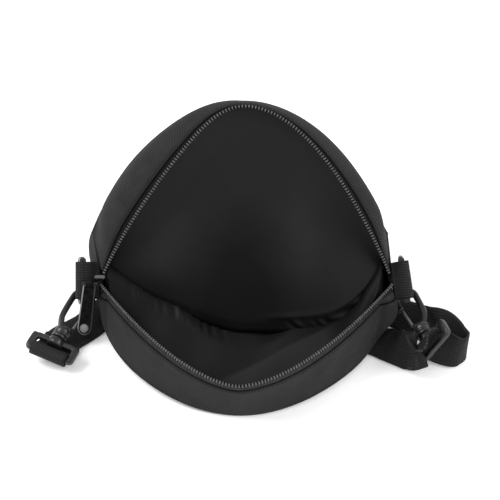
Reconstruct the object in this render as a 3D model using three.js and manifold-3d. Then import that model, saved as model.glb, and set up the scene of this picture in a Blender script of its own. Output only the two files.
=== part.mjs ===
// A round shoulder bag lying on its back panel with the zip open and the front panel raised like a lid.
// Millimetres, +Z up, the surface it lies on at z = 0. The mouth faces -Y and the zip ends lie along X.
import * as THREE from 'three';
import { mergeVertices } from 'three/addons/utils/BufferGeometryUtils.js';
import ManifoldModule from 'manifold-3d';

const wasm = await ManifoldModule();
wasm.setup();

// Sizes of the bag
const PANEL_RADIUS = 100;
const PANEL_CENTRE = { x: -1.5, y: 12 };
const NEAR_STRIP_WIDTH = 33;
const LID_STRIP_WIDTH = 35;
const GUSSET_WIDTH = 70;
const ZIP_SHARE = 0.2;
const ZIP_HALF_SPAN = 98;
const ZIP_END_HEIGHT = 35;
const NEAR_RIM_REACH = 95;
const NEAR_RIM_RISE = 2.6;
const LID_RIM_REACH = 36.7;
const LID_RIM_RISE = 118;
const LID_RIM_POWER = 1.9;
const NEAR_RIM_POWER = 1.8;
const NEAR_RIM_SHIFT = -5;
const LID_RIM_SHIFT = -1;
const LID_SHIFT = -4;
const LID_LEAN = -2.5;
const LID_NARROWING = 8;
const NEAR_NARROWING = { left: 4.2, right: 6.2 };
const NEAR_SHIFT = { x: -2, y: 1.4 };
const RIM_PACE = 1.18;

// Sizes of the cloth
const FABRIC = 1.4;
const LINING = 1;
const LAYER_GAP = 0.5;
const PANEL_INSET = 2.8;
const TAPE = 1;
const COIL_RADIUS = 1.3;

// How the back panel lies: flat in the middle, lifted off the surface where the strap passes under it
const FLAT_MIDDLE = 0.38;
const LIFT_FROM = 0.52;
const NEAR_LIFT = 0.4;
const STRAP_LIFT = 4.6;
const STRAP_LIFT_ANGLE = 45;
const CORNER_ANGLE = 83;

// How the front panel hangs: heights of its seam, and the crease where it folds down into the bag
const LID_TOP = { y: 62, z: 132 };
const LID_SIDE = { y: 32, z: 52 };
const LID_RISE_POWER = 1.3;
const LID_BOTTOM = { y: 55, z: 35 };
const CREASE = { y: -24, z: 12 };
const CREASE_ROUNDING = 9;
const SAG_POWER = { upper: 3, left: 4.2, right: 8 };
const SAG_CHANGE = { from: 62, to: 118 };
const ZIP_END_GAP = 1.4;

// Sizes of the webbing and its hardware
const WEBBING_WIDTH = 25;
const WEBBING = 1.5;
const RING_WIRE = 1.7;
const RING_LENGTH = 30.5;
const RING_DEPTH = 20;
const HOOK_LENGTH = 46;
const HOOK_THICKNESS = 5.5;
const BARREL_RADIUS = 5.5;
const LOOP_SLOT = 26.5;
const LOOP_BAR = 4;
const RING_CORNER = 2.4;
const RING_POINT = 9;
const TAB_CLEARANCE = 0.4;
const LOOP_HEIGHT = 10;
const POST_RADIUS = 2.4;
const POST_END = 17;
const BARREL_FOOT = 12.6;
const BARREL_TOP = 21;
const HOOK_GAP = 0.35;
const ARCH_RADIUS = 4.8;
const ARCH_LIFT = 1.2;
const CLAW_WIDTH = 3.4;
const NOSE_END = 39;
const GATE_OFFSET = 4.6;
const GATE_FOOT = 24;
const GATE_WIDTH = 1.6;
const GATE_LEAN = 0.09;
const NEAR_STRIP_END = 0.985;
const LID_STRIP_END = 0.968;
const LINING_SHORT = 0.03;
const GUSSET_FROM = 0.002;
const GUSSET_LINING_FROM = 0.022;
const ZIP_SHORT = 0.01;
const TAPE_GAP = 1.2;
const PULLER_LENGTH = 36;
const PULLER_WIDTH = 8.6;
const PULLER_THICKNESS = 1.8;
const PULLER_HOLE = 2.2;
const PULLER_GAP = 0.4;
const SLIDER_FOOT = 2;
const SLIDER_SIZE = [6, 4, 5];
const SLIDER_CENTRE = [-98, -1.5, 39.5];
const PIVOT_PIN = 1;
const KNUCKLE_RADIUS = 2.2;
const KNUCKLE_LENGTH = 5;

const degrees = THREE.MathUtils.degToRad;
const vector = (x, y, z) => new THREE.Vector3(x, y, z);
const smooth = (from, to, value) => THREE.MathUtils.smoothstep(value, from, to);

function material(colour, roughness, metalness) {
  return new THREE.MeshStandardMaterial({ color: colour, roughness, metalness });
}

const TWILL = material(0x323232, 0.9, 0);
const LINING_CLOTH = material(0x232323, 0.7, 0);
const ZIP_TAPE = material(0x1c1c1c, 0.8, 0);
const WEBBING_CLOTH = material(0x2a2a2a, 0.85, 0);
const PLASTIC = material(0x1e1e1e, 0.4, 0);
const METAL = material(0x2b2b2d, 0.35, 0.8);

// Where the puller hangs, and the places and directions of the hardware at each zip end
const PULLER_PIVOT = vector(-104, -5, 39);
const PULLER_END = vector(-106, -21, 8);
const TO_VIEWER = [0, -0.743, 0.669];
const HARDWARE = [
  {
    side: 'left', tabReach: 8, corner: [-110, 4, 33.5], out: [-1, 0, 0], across: [0, 0.669, 0.743],
    bow: [-0.2, 0.73, -0.655], loopBar: [-131, -44, 9.6], loopAcross: [0.85, -0.45, -0.15], back: -1,
  },
  {
    side: 'right', tabReach: 5, corner: [105.5, 3, 35], out: [1, 0.1, -0.2], across: [-0.15, 0.64, 0.75],
    bow: [0.1, 0.74, -0.66], loopBar: [124.5, -52, 17], loopAcross: [0.55, 0.1, 0.82], back: 1,
  },
];

// The strap's route: how it leaves the left loop's bar, and the points of its middle line after that
const STRAP_STEPS = 2;
const SLOT_MIDDLE = 5;
const STRAP_LEAVES = [0.83, 0.56, -0.08];
const STRAP_WRAP = [
  { along: 20, rise: -5 },
  { along: 13, rise: -4.4 },
  { along: 8.5, rise: -3.3 },
  { along: 5.4, rise: -0.6 },
  { along: 3.6, rise: 2 },
  { along: 1, rise: 3.4 },
  { along: -1.8, rise: 3 },
  { along: -3.4, rise: 0.9 },
  { along: -3.1, rise: -1.8 },
  { along: -1, rise: -3.8 },
  { along: 5, rise: -4.9 },
  { along: 11, rise: -6.3 },
  { along: 20, rise: -7.1 },
];
const STRAP_ROUTE = [
  { x: -106, y: -12, z: 0.9, across: [0.56, -0.83, 0] },
  { x: -90, y: 4, z: 0.9, across: [0.7, -0.7, 0] },
  { x: -72, y: 34, z: 0.9, across: [0.9, -0.45, 0] },
  { x: -60, y: 72, z: 0.9, across: [0.96, -0.25, 0] },
  { x: -52, y: 108, z: 0.9, across: [0.97, -0.2, 0] },
  { x: -46, y: 130, z: 7, across: [0.75, -0.2, 0.63] },
  { x: -38, y: 150, z: 12.8, across: [0.1, 0, 1] },
  { x: -18, y: 168, z: 12.8, across: [0, 0, 1] },
  { x: 8, y: 170, z: 12.8, across: [0, 0, 1] },
  { x: 32, y: 155, z: 12.8, across: [-0.1, 0, 1] },
  { x: 44, y: 132, z: 7, across: [-0.75, -0.25, 0.63] },
  { x: 52, y: 108, z: 0.9, across: [-0.97, -0.2, 0] },
  { x: 62, y: 72, z: 0.9, across: [-0.96, -0.25, 0] },
  { x: 74, y: 38, z: 0.9, across: [-0.9, -0.45, 0] },
  { x: 92, y: 14, z: 0.9, across: [-0.65, -0.75, 0] },
  { x: 106, y: 2, z: 3.4, across: [-0.6, -0.75, -0.2] },
  { x: 119, y: -9, z: 6.5, across: [-0.55, -0.7, -0.45] },
  { x: 132, y: -20, z: 11.8, across: [-0.3, -0.35, -0.85] },
  { x: 142, y: -30, z: 13.2, across: [0, 0, -1] },
  { x: 145, y: -37, z: 13.2, across: [0, 0, -1] },
  { x: 140, y: -43, z: 13.2, across: [-0.2, 0, -1] },
  { slotted: 5 },
  { slotted: -7 },
  { x: 111, y: -46, z: 17.5, across: [-0.4, -0.2, -0.88] },
  { x: 107, y: -39, z: 10.5, across: [-0.15, -0.6, -0.7] },
  { x: 100, y: -32, z: 3.4, across: [0.1, -0.95, -0.18] },
  { x: 92, y: -25, z: 1.5, across: [0.3, -0.95, -0.04] },
  { x: 84, y: -20, z: 0.9, across: [0.3, -0.95, 0] },
  { x: 68, y: -14, z: 0.9, across: [0.3, -0.95, 0] },
];

const bag = new THREE.Group();

// Closed meshes

function closedMesh(points, triangles) {
  const geometry = new THREE.BufferGeometry();
  let volume = 0;
  for (const [a, b, c] of triangles) volume += points[a].dot(points[b].clone().cross(points[c]));
  const index = volume < 0 ? triangles.map(([a, b, c]) => [a, c, b]) : triangles;
  geometry.setAttribute('position', new THREE.Float32BufferAttribute(points.flatMap((p) => p.toArray()), 3));
  geometry.setIndex(index.flat());
  geometry.computeVertexNormals();
  return geometry;
}

// Joins a stack of closed outlines, each with the same number of points, into one solid.
// The ends are capped straight across, or the last outline meets the first one again. The second half of
// each outline is cut along the other diagonal, so that the two faces of a wall stay parallel.
function sweptSolid(outlines, ring = false) {
  const sides = outlines[0].length;
  const triangles = [];
  const at = (i, k) => (i % outlines.length) * sides + (k % sides);
  const steps = ring ? outlines.length : outlines.length - 1;
  for (let i = 0; i < steps; i += 1) {
    for (let k = 0; k < sides; k += 1) {
      const [a, b, c, d] = [at(i, k), at(i + 1, k), at(i + 1, k + 1), at(i, k + 1)];
      if (k < sides / 2) triangles.push([a, b, c], [a, c, d]);
      else triangles.push([a, b, d], [b, c, d]);
    }
  }
  if (!ring) {
    const last = outlines.length - 1;
    const cap = (i, j, k) => {
      triangles.push([at(0, i), at(0, j), at(0, k)], [at(last, i), at(last, k), at(last, j)]);
    };
    for (let k = 0; k < (sides - 2) / 2; k += 1) {
      const across = sides - 1 - k;
      cap(k, k + 1, across);
      if (across - 1 > k + 1) cap(k + 1, across - 1, across);
    }
  }
  return closedMesh(outlines.flat(), triangles);
}

function manifoldOf(geometry) {
  const bare = geometry.clone();
  for (const name of Object.keys(bare.attributes)) if (name !== 'position') bare.deleteAttribute(name);
  const merged = mergeVertices(bare, 1e-4);
  const mesh = new wasm.Mesh({
    numProp: 3,
    vertProperties: new Float32Array(merged.getAttribute('position').array),
    triVerts: new Uint32Array(merged.index.array),
  });
  return new wasm.Manifold(mesh);
}

function geometryOf(solid) {
  const mesh = solid.getMesh();
  const geometry = new THREE.BufferGeometry();
  geometry.setAttribute('position', new THREE.Float32BufferAttribute(mesh.vertProperties, 3));
  geometry.setIndex([...mesh.triVerts]);
  geometry.computeVertexNormals();
  return geometry;
}

function addPiece(name, geometry, finish, parent = bag) {
  const mesh = new THREE.Mesh(geometry, finish);
  mesh.name = name;
  parent.add(mesh);
  return mesh;
}

// A group with its own origin and axes, for pieces that are drawn in a frame of their own
function basisGroup(origin, xAxis, yAxis, zAxis) {
  const group = new THREE.Group();
  group.position.copy(origin);
  group.quaternion.setFromRotationMatrix(new THREE.Matrix4().makeBasis(xAxis, yAxis, zAxis));
  bag.add(group);
  return group;
}

// Cloth walls

const evenly = (from, to, steps) => (
  Array.from({ length: steps + 1 }, (_, i) => from + ((to - from) * i) / steps)
);

// A cloth wall between two depths under a surface of two parameters, measured along its normal.
// The sense is 1 or -1, whichever turns the normal to the inside of the bag.
function clothWall(surface, sense, us, vs, outerDepth, innerDepth) {
  const step = 1e-3;
  const under = (u, v, depth) => {
    const alongU = surface(u + step, v).sub(surface(u - step, v));
    const alongV = surface(u, v + step).sub(surface(u, v - step));
    return surface(u, v).addScaledVector(alongU.cross(alongV).normalize(), sense * depth);
  };
  return sweptSolid(us.map((u) => [
    ...vs.map((v) => under(u, v, outerDepth)),
    ...vs.toReversed().map((v) => under(u, v, innerDepth)),
  ]));
}

// Edges and surfaces of the bag

function edgeLift(angle) {
  return NEAR_LIFT + (STRAP_LIFT - NEAR_LIFT) * smooth(0, degrees(STRAP_LIFT_ANGLE), Math.abs(angle));
}

// How far the near half of the back panel's seam is pushed in from its circle
function nearPush(turn) {
  const near = Math.max(Math.cos(turn), 0);
  const narrowing = turn < 0 ? NEAR_NARROWING.left : NEAR_NARROWING.right;
  const x = NEAR_SHIFT.x * near ** 4 - 2 * narrowing * Math.sin(turn) * near;
  return vector(x, NEAR_SHIFT.y * near ** 4, 0);
}

// Back panel seam: a circle, from angle 0 at the near edge round to +X, pushed in on its near half
function backEdge(angle) {
  const x = PANEL_CENTRE.x + PANEL_RADIUS * Math.sin(angle);
  const y = PANEL_CENTRE.y - PANEL_RADIUS * Math.cos(angle);
  const turn = angle > Math.PI ? angle - 2 * Math.PI : angle;
  return vector(x, y, edgeLift(turn)).add(nearPush(turn));
}

// The raised lid leans a little to the left, most at its top
function lidShift(cosine) {
  return (LID_SHIFT / 2 + LID_LEAN * (1 - cosine ** 2)) * (1 + cosine);
}

// Half the lid's width: the round panel is drawn in at the sides of its raised half, where it is dished
function lidHalfWidth(angle) {
  const drawnIn = Math.cos(angle) > 0 ? LID_NARROWING * Math.sin(2 * angle) * Math.sin(angle) ** 2 : 0;
  return PANEL_RADIUS * Math.sin(angle) - drawnIn;
}

// Front panel seam: from angle 0 at the raised top round to +X, bent back at the bag's bottom
function frontEdge(angle) {
  const c = Math.cos(angle);
  const soft = 0.12;
  const reach = (Math.hypot(c, soft) - soft) / (Math.hypot(1, soft) - soft);
  const end = c > 0 ? LID_TOP : LID_BOTTOM;
  const y = LID_SIDE.y + (end.y - LID_SIDE.y) * reach;
  const z = LID_SIDE.z + (end.z - LID_SIDE.z) * Math.abs(c) ** LID_RISE_POWER;
  return vector(lidHalfWidth(angle) + lidShift(c), y, z);
}

// The two zip rims, from t = -1 at the left end to t = 1 at the right end
function nearRim(t) {
  const bulge = 1 - Math.abs(t) ** NEAR_RIM_POWER;
  const x = ZIP_HALF_SPAN * t + NEAR_RIM_SHIFT * bulge;
  return vector(x, -NEAR_RIM_REACH * bulge, ZIP_END_HEIGHT + NEAR_RIM_RISE * bulge);
}

function lidRim(t) {
  const rise = 1 - Math.abs(t) ** LID_RIM_POWER;
  const x = ZIP_HALF_SPAN * t + LID_RIM_SHIFT * rise;
  return vector(x, LID_RIM_REACH * rise, ZIP_END_HEIGHT + LID_RIM_RISE * rise);
}

const CLOTH_RADIUS = PANEL_RADIUS - PANEL_INSET;

// Back panel as height over its own plane, by rows from the near edge and columns across
function backSurface(row, across) {
  const x = CLOTH_RADIUS * Math.sin(row) * across;
  const q = -CLOTH_RADIUS * Math.cos(row);
  const turn = Math.atan2(x, -q);
  const reach = Math.hypot(x, q) / PANEL_RADIUS;
  const z = edgeLift(turn) * smooth(FLAT_MIDDLE, LIFT_FROM, reach);
  return vector(PANEL_CENTRE.x + x, PANEL_CENTRE.y + q, z).addScaledVector(nearPush(turn), reach ** 2);
}

// Middle line of the front panel: bottom seam to crease to raised top, rounded at the crease
function frontMiddle(s) {
  const lower = Math.hypot(LID_BOTTOM.y - CREASE.y, LID_BOTTOM.z - CREASE.z);
  const upper = Math.hypot(LID_TOP.y - CREASE.y, LID_TOP.z - CREASE.z);
  const creaseAt = (2 * PANEL_RADIUS * lower) / (lower + upper);
  const onLine = (along) => {
    const below = along < creaseAt;
    const end = below ? LID_BOTTOM : LID_TOP;
    const share = Math.abs(along - creaseAt) / (below ? creaseAt : 2 * PANEL_RADIUS - creaseAt);
    return { y: CREASE.y + (end.y - CREASE.y) * share, z: CREASE.z + (end.z - CREASE.z) * share };
  };
  if (Math.abs(s - creaseAt) > CREASE_ROUNDING) return onLine(s);
  const a = onLine(creaseAt - CREASE_ROUNDING);
  const b = onLine(creaseAt + CREASE_ROUNDING);
  const k = (s - creaseAt + CREASE_ROUNDING) / (2 * CREASE_ROUNDING);
  const mix = (key) => (1 - k) ** 2 * a[key] + 2 * k * (1 - k) * CREASE[key] + k ** 2 * b[key];
  return { y: mix('y'), z: mix('z') };
}

// Front panel: each row sags from its two seam points to the middle line, more steeply on the right
function frontSurface(row, across) {
  const s = PANEL_RADIUS - CLOTH_RADIUS * Math.cos(row);
  const angle = Math.acos((s - PANEL_RADIUS) / PANEL_RADIUS);
  const edge = frontEdge(angle);
  const middle = frontMiddle(s);
  const share = (across * CLOTH_RADIUS * Math.sin(row)) / (PANEL_RADIUS * Math.sin(angle));
  const x = share * lidHalfWidth(angle);
  const lowerPower = share < 0 ? SAG_POWER.left : SAG_POWER.right;
  const power = lowerPower + (SAG_POWER.upper - lowerPower) * smooth(SAG_CHANGE.from, SAG_CHANGE.to, s);
  const sag = (1 - Math.abs(share) ** power) ** 2;
  const shift = lidShift((s - PANEL_RADIUS) / PANEL_RADIUS);
  return vector(x + shift, edge.y + (middle.y - edge.y) * sag, edge.z + (middle.z - edge.z) * sag);
}

// A strip of cloth between two edges, bowed outwards by the width that its straight chord leaves over.
// The sense is 1 or -1, whichever turns the bow outwards.
function bowedStrip(edgeA, edgeB, width, taper, sense) {
  const step = 1e-3;
  return (u, v) => {
    const a = edgeA(u);
    const chord = edgeB(u).sub(a);
    const length = chord.length();
    const bow = Math.sqrt(Math.max(0, 0.375 * length * (width - length))) * taper(u);
    const along = edgeA(u + step).add(edgeB(u + step)).sub(edgeA(u - step)).sub(edgeB(u - step));
    const out = along.cross(chord).normalize().multiplyScalar(sense);
    return a.addScaledVector(chord, v).addScaledVector(out, bow * 4 * v * (1 - v));
  };
}

const cornerAngle = degrees(CORNER_ANGLE);
const quarterTurn = Math.PI / 2;
const stripTaper = (u) => smooth(0, 0.25, 1 - Math.abs(u));
const gussetTaper = (u) => smooth(0, 0.2, Math.min(u, 1 - u));

const nearStrip = bowedStrip(
  (u) => backEdge(u * cornerAngle),
  (u) => nearRim(Math.sin(u * cornerAngle) / Math.sin(cornerAngle)),
  NEAR_STRIP_WIDTH,
  stripTaper,
  1,
);
const lidStrip = bowedStrip(
  (u) => frontEdge(u * quarterTurn),
  (u) => lidRim(u * (RIM_PACE - (RIM_PACE - 1) * u * u)),
  LID_STRIP_WIDTH,
  stripTaper,
  -1,
);
const bowedGusset = bowedStrip(
  (u) => backEdge(cornerAngle + 2 * u * (Math.PI - cornerAngle)),
  (u) => frontEdge(quarterTurn + u * Math.PI),
  GUSSET_WIDTH,
  gussetTaper,
  1,
);

// The two ends of the bottom gusset are folded round the zip ends, where the strips meet it
function gussetStrip(u, v) {
  const fold = 1 - smooth(0, 0.16, Math.min(u, 1 - u));
  const zipEnd = u < 0.5 ? nearRim(1) : nearRim(-1);
  zipEnd.y += ZIP_END_GAP;
  const pull = zipEnd.sub(bowedGusset(u, 0.5)).multiplyScalar(fold);
  return bowedGusset(u, v).addScaledVector(pull, 1 - Math.abs(2 * v - 1));
}

// Panels, strips and gusset, each with its lining, which stops short of the seams

const ROW_ENDS = [4, 13];
const COLUMN_ENDS = [-1, -0.97];
const BACK_ROWS = [
  ROW_ENDS[0], ...evenly(ROW_ENDS[1], 180 - ROW_ENDS[1], 13), 180 - ROW_ENDS[0],
].map(degrees);
const BACK_COLUMNS = [COLUMN_ENDS[0], ...evenly(COLUMN_ENDS[1], -COLUMN_ENDS[1], 12), -COLUMN_ENDS[0]];
const FRONT_ROWS = [
  4, 11, 22, 36, 48, 57, 63, 68, 72, 77, 85, 96, 108, 121, 134, 147, 158, 169, 176,
].map(degrees);
const withoutEnds = (list) => list.slice(1, -1);
const liningFrom = FABRIC + LAYER_GAP;
const liningTo = liningFrom + LINING;

const stripStations = (end) => [-end, ...evenly(LINING_SHORT - end, end - LINING_SHORT, 28), end];
const NEAR_STATIONS = stripStations(NEAR_STRIP_END);
const LID_STATIONS = stripStations(LID_STRIP_END);
const GUSSET_STATIONS = [
  GUSSET_FROM, ...evenly(GUSSET_LINING_FROM, 1 - GUSSET_LINING_FROM, 28), 1 - GUSSET_FROM,
];
const STRIP_HEIGHTS = [0, 0.2, 0.5, 1 - ZIP_SHARE];
const GUSSET_HEIGHTS = [0, 0.07, 0.26, 0.5, 0.74, 0.93, 1];

const CLOTH_PIECES = [
  { name: 'back', wall: 'back_panel', surface: backSurface, sense: -1, us: BACK_ROWS, vs: BACK_COLUMNS },
  { name: 'front', wall: 'front_panel', surface: frontSurface, sense: -1, us: FRONT_ROWS, vs: BACK_COLUMNS },
  { name: 'near', wall: 'near_strip', surface: nearStrip, sense: -1, us: NEAR_STATIONS, vs: STRIP_HEIGHTS },
  { name: 'lid', wall: 'lid_strip', surface: lidStrip, sense: 1, us: LID_STATIONS, vs: STRIP_HEIGHTS },
  {
    name: 'gusset', wall: 'bottom_gusset', surface: gussetStrip, sense: -1, us: GUSSET_STATIONS,
    vs: GUSSET_HEIGHTS,
  },
];

for (const { name, surface, sense, us, vs, wall } of CLOTH_PIECES) {
  addPiece(wall, clothWall(surface, sense, us, vs, 0, FABRIC), TWILL);
  const liningVs = vs === STRIP_HEIGHTS ? vs.slice(1) : withoutEnds(vs);
  const lining = clothWall(surface, sense, withoutEnds(us), liningVs, liningFrom, liningTo);
  addPiece(`${name}_lining`, lining, LINING_CLOTH);
}

// Zip tapes, each with its coil of teeth along the free edge

const COIL_SIDES = 6;

function zipTape(surface, stations, sense) {
  const step = 1e-3;
  const end = stations.at(-1) - ZIP_SHORT;
  return sweptSolid(stations.map((station) => {
    const u = THREE.MathUtils.clamp(station, -end, end);
    const rim = surface(u, 1);
    const along = surface(u + step, 1).sub(surface(u - step, 1)).normalize();
    const down = surface(u, 1 - ZIP_SHARE).sub(rim);
    const reach = down.length() - TAPE_GAP;
    down.normalize();
    const inwards = along.clone().cross(down).multiplyScalar(sense).normalize();
    const place = (depth, side) => rim.clone().addScaledVector(down, depth).addScaledVector(inwards, side);
    const coil = evenly(-0.75, 0.75, COIL_SIDES).map((turn) => {
      const angle = turn * Math.PI;
      return place(COIL_RADIUS - COIL_RADIUS * Math.cos(angle), FABRIC / 2 + COIL_RADIUS * Math.sin(angle));
    });
    const half = TAPE / 2;
    return [...coil, place(reach, FABRIC / 2 + half), place(reach, FABRIC / 2 - half)];
  }));
}

addPiece('near_zip', zipTape(nearStrip, NEAR_STATIONS, 1), ZIP_TAPE);
addPiece('lid_zip', zipTape(lidStrip, LID_STATIONS, -1), ZIP_TAPE);

// Slider at the left zip end and the flat puller that hangs from it over the gusset

function roundedBar(length, width, thickness, holeRadius) {
  const half = width / 2;
  const shape = new THREE.Shape();
  shape.moveTo(-half * 0.6, -0.6);
  shape.lineTo(half * 0.6, -0.6);
  shape.lineTo(half, -length + half);
  shape.absarc(0, -length + half, half, 0, -Math.PI, true);
  const hole = new THREE.Path();
  hole.absarc(0, -length + half + 0.6, holeRadius, 0, 2 * Math.PI, false);
  shape.holes.push(hole);
  const bevel = { bevelThickness: 0.3, bevelSize: 0.3, bevelOffset: -0.3, bevelSegments: 1 };
  const geometry = new THREE.ExtrudeGeometry(shape, { depth: thickness - 0.6, curveSegments: 6, ...bevel });
  return geometry.translate(0, 0, 0.3 - thickness / 2);
}

const pullerDrop = PULLER_END.clone().sub(PULLER_PIVOT).normalize();
const pullerUp = pullerDrop.negate();
const pullerFace = vector(1, 0, 0).cross(pullerUp).normalize();
const puller = basisGroup(PULLER_PIVOT, pullerUp.clone().cross(pullerFace), pullerUp, pullerFace);

const alongX = (radius, length) => (
  new THREE.CylinderGeometry(radius, radius, length, 12).rotateZ(quarterTurn)
);
const knuckle = manifoldOf(alongX(KNUCKLE_RADIUS, KNUCKLE_LENGTH));
const pinBore = manifoldOf(alongX(PIVOT_PIN + PULLER_GAP, PULLER_WIDTH * 2));
const bar = manifoldOf(roundedBar(PULLER_LENGTH, PULLER_WIDTH, PULLER_THICKNESS, PULLER_HOLE));
addPiece('zip_puller', geometryOf(bar.add(knuckle).subtract(pinBore)), METAL, puller);

// The slider body sits on the zip end, with a pin that carries the puller
const sliderBody = new THREE.BoxGeometry(...SLIDER_SIZE).translate(...SLIDER_CENTRE);
const pinReach = SLIDER_CENTRE[0] - PULLER_PIVOT.x + KNUCKLE_LENGTH;
const pivotPin = alongX(PIVOT_PIN, pinReach);
pivotPin.translate(SLIDER_CENTRE[0] - pinReach / 2, PULLER_PIVOT.y, PULLER_PIVOT.z);
const footReach = SLIDER_CENTRE[1] - PULLER_PIVOT.y + 2 * PIVOT_PIN;
const pinFoot = new THREE.BoxGeometry(SLIDER_FOOT, footReach, 2 * PIVOT_PIN);
pinFoot.translate(SLIDER_CENTRE[0], (SLIDER_CENTRE[1] + PULLER_PIVOT.y) / 2, PULLER_PIVOT.z);
const slider = manifoldOf(sliderBody).add(manifoldOf(pivotPin)).add(manifoldOf(pinFoot));
addPiece('zip_slider', geometryOf(slider), METAL);

// Webbing tabs and D-rings at the two zip ends

// The tab is folded round the ring's bar: x runs out from the bag, y across the webbing
function tabGeometry(reach) {
  const shape = new THREE.Shape();
  const fold = RING_WIRE + TAB_CLEARANCE + WEBBING;
  shape.moveTo(0, -WEBBING);
  shape.lineTo(reach - fold, -fold * 0.9);
  shape.absarc(reach, 0, fold, -0.6 * Math.PI, 0.6 * Math.PI, false);
  shape.lineTo(reach - fold, fold * 0.9);
  shape.lineTo(0, WEBBING);
  const bore = new THREE.Path();
  bore.absarc(reach, 0, RING_WIRE + TAB_CLEARANCE, 0, 2 * Math.PI, false);
  shape.holes.push(bore);
  const along = { depth: WEBBING_WIDTH, bevelEnabled: false, curveSegments: 5 };
  const geometry = new THREE.ExtrudeGeometry(shape, along);
  return geometry.translate(-reach, 0, -WEBBING_WIDTH / 2);
}

// A D-ring of round wire: its straight bar lies along z through the origin and its bow reaches to +x
function ringGeometry() {
  const half = RING_LENGTH / 2;
  const corner = RING_CORNER;
  const corners = [
    { x: corner, z: half - corner, from: 180 },
    { x: RING_DEPTH - corner, z: half - corner, from: 90 },
    { x: RING_DEPTH - corner, z: corner - half, from: 0 },
    { x: corner, z: corner - half, from: -90 },
  ];
  const stations = corners.flatMap(({ x, z, from }) => evenly(from, from - 90, 3).map((angle) => {
    const out = vector(Math.cos(degrees(angle)), 0, Math.sin(degrees(angle)));
    return { centre: vector(x, 0, z).addScaledVector(out, corner), out };
  }));
  return sweptSolid(stations.map(({ centre, out }) => evenly(0, 7 / 8, 7).map((turn) => (
    centre.clone()
      .addScaledVector(out, RING_WIRE * Math.cos(turn * 2 * Math.PI))
      .add(vector(0, RING_WIRE * Math.sin(turn * 2 * Math.PI), 0))
  ))), true);
}

// Snap hooks: x lies across the hook towards its solid back, y along it from the strap loop to the claw

// The loop is a flat frame whose lower bar holds the strap, with a post that turns in the hook's barrel
function loopGeometry() {
  const half = LOOP_SLOT / 2;
  const outer = half + LOOP_BAR;
  const top = LOOP_HEIGHT + LOOP_BAR / 2;
  const frame = new THREE.Shape([
    [-outer, -LOOP_BAR / 2], [outer, -LOOP_BAR / 2], [outer, LOOP_HEIGHT - LOOP_BAR], [outer - LOOP_BAR, top],
    [LOOP_BAR - outer, top], [-outer, LOOP_HEIGHT - LOOP_BAR],
  ].map(([x, y]) => new THREE.Vector2(x, y)));
  const slotTop = LOOP_HEIGHT - LOOP_BAR / 2;
  frame.holes.push(new THREE.Path([
    [-half, LOOP_BAR / 2], [-half, slotTop], [half, slotTop], [half, LOOP_BAR / 2],
  ].map(([x, y]) => new THREE.Vector2(x, y))));
  const bevel = { bevelThickness: 0.6, bevelSize: 0.6, bevelOffset: -0.6, bevelSegments: 1 };
  const flat = new THREE.ExtrudeGeometry(frame, { depth: LOOP_BAR - 1.2, ...bevel });
  flat.translate(0, 0, 0.6 - LOOP_BAR / 2);
  const post = new THREE.CylinderGeometry(POST_RADIUS, POST_RADIUS, POST_END - LOOP_HEIGHT, 10);
  post.translate(0, (POST_END + LOOP_HEIGHT) / 2, 0);
  return geometryOf(manifoldOf(flat).add(manifoldOf(post)));
}

// The hook is a barrel with a claw: a back arm, an arch round the ring's wire and a nose on the gate's side
function hookGeometry() {
  const bore = POST_RADIUS + HOOK_GAP;
  const barrel = new THREE.LatheGeometry([
    [0, BARREL_TOP], [BARREL_RADIUS, BARREL_TOP], [BARREL_RADIUS, BARREL_FOOT], [bore, BARREL_FOOT],
    [bore, POST_END + HOOK_GAP], [0, POST_END + HOOK_GAP],
  ].map(([x, y]) => new THREE.Vector2(x, y)).reverse(), 12);
  const archCentre = HOOK_LENGTH + ARCH_LIFT;
  const outer = ARCH_RADIUS + CLAW_WIDTH;
  const claw = new THREE.Shape();
  claw.moveTo(-GATE_OFFSET, BARREL_TOP - 1);
  claw.lineTo(GATE_OFFSET, BARREL_TOP - 1);
  claw.lineTo(outer * 0.8, BARREL_TOP + 6);
  claw.lineTo(outer, archCentre);
  claw.absarc(0, archCentre, outer, 0, Math.PI, false);
  claw.lineTo(-outer, NOSE_END);
  claw.lineTo(-ARCH_RADIUS, NOSE_END);
  claw.lineTo(-ARCH_RADIUS, archCentre);
  claw.absarc(0, archCentre, ARCH_RADIUS, Math.PI, 0, true);
  claw.lineTo(ARCH_RADIUS * 0.8, BARREL_TOP + 7);
  claw.lineTo(0, BARREL_TOP + 2.5);
  claw.lineTo(-GATE_OFFSET, BARREL_TOP + 2.5);
  const bevel = { bevelThickness: 0.8, bevelSize: 0.8, bevelOffset: -0.8, bevelSegments: 1 };
  const depth = HOOK_THICKNESS - 1.6;
  const flat = new THREE.ExtrudeGeometry(claw, { depth, curveSegments: 8, ...bevel });
  flat.translate(0, 0, -depth / 2);
  return geometryOf(manifoldOf(barrel).add(manifoldOf(flat)));
}

// The gate is a thin lever from its pivot beside the barrel to the claw's nose
function gateGeometry() {
  const reach = NOSE_END - GATE_FOOT - 2 * HOOK_GAP;
  const lever = new THREE.BoxGeometry(GATE_WIDTH, reach, HOOK_THICKNESS - 2);
  return lever.translate(0, reach / 2 + HOOK_GAP, 0);
}

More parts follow.
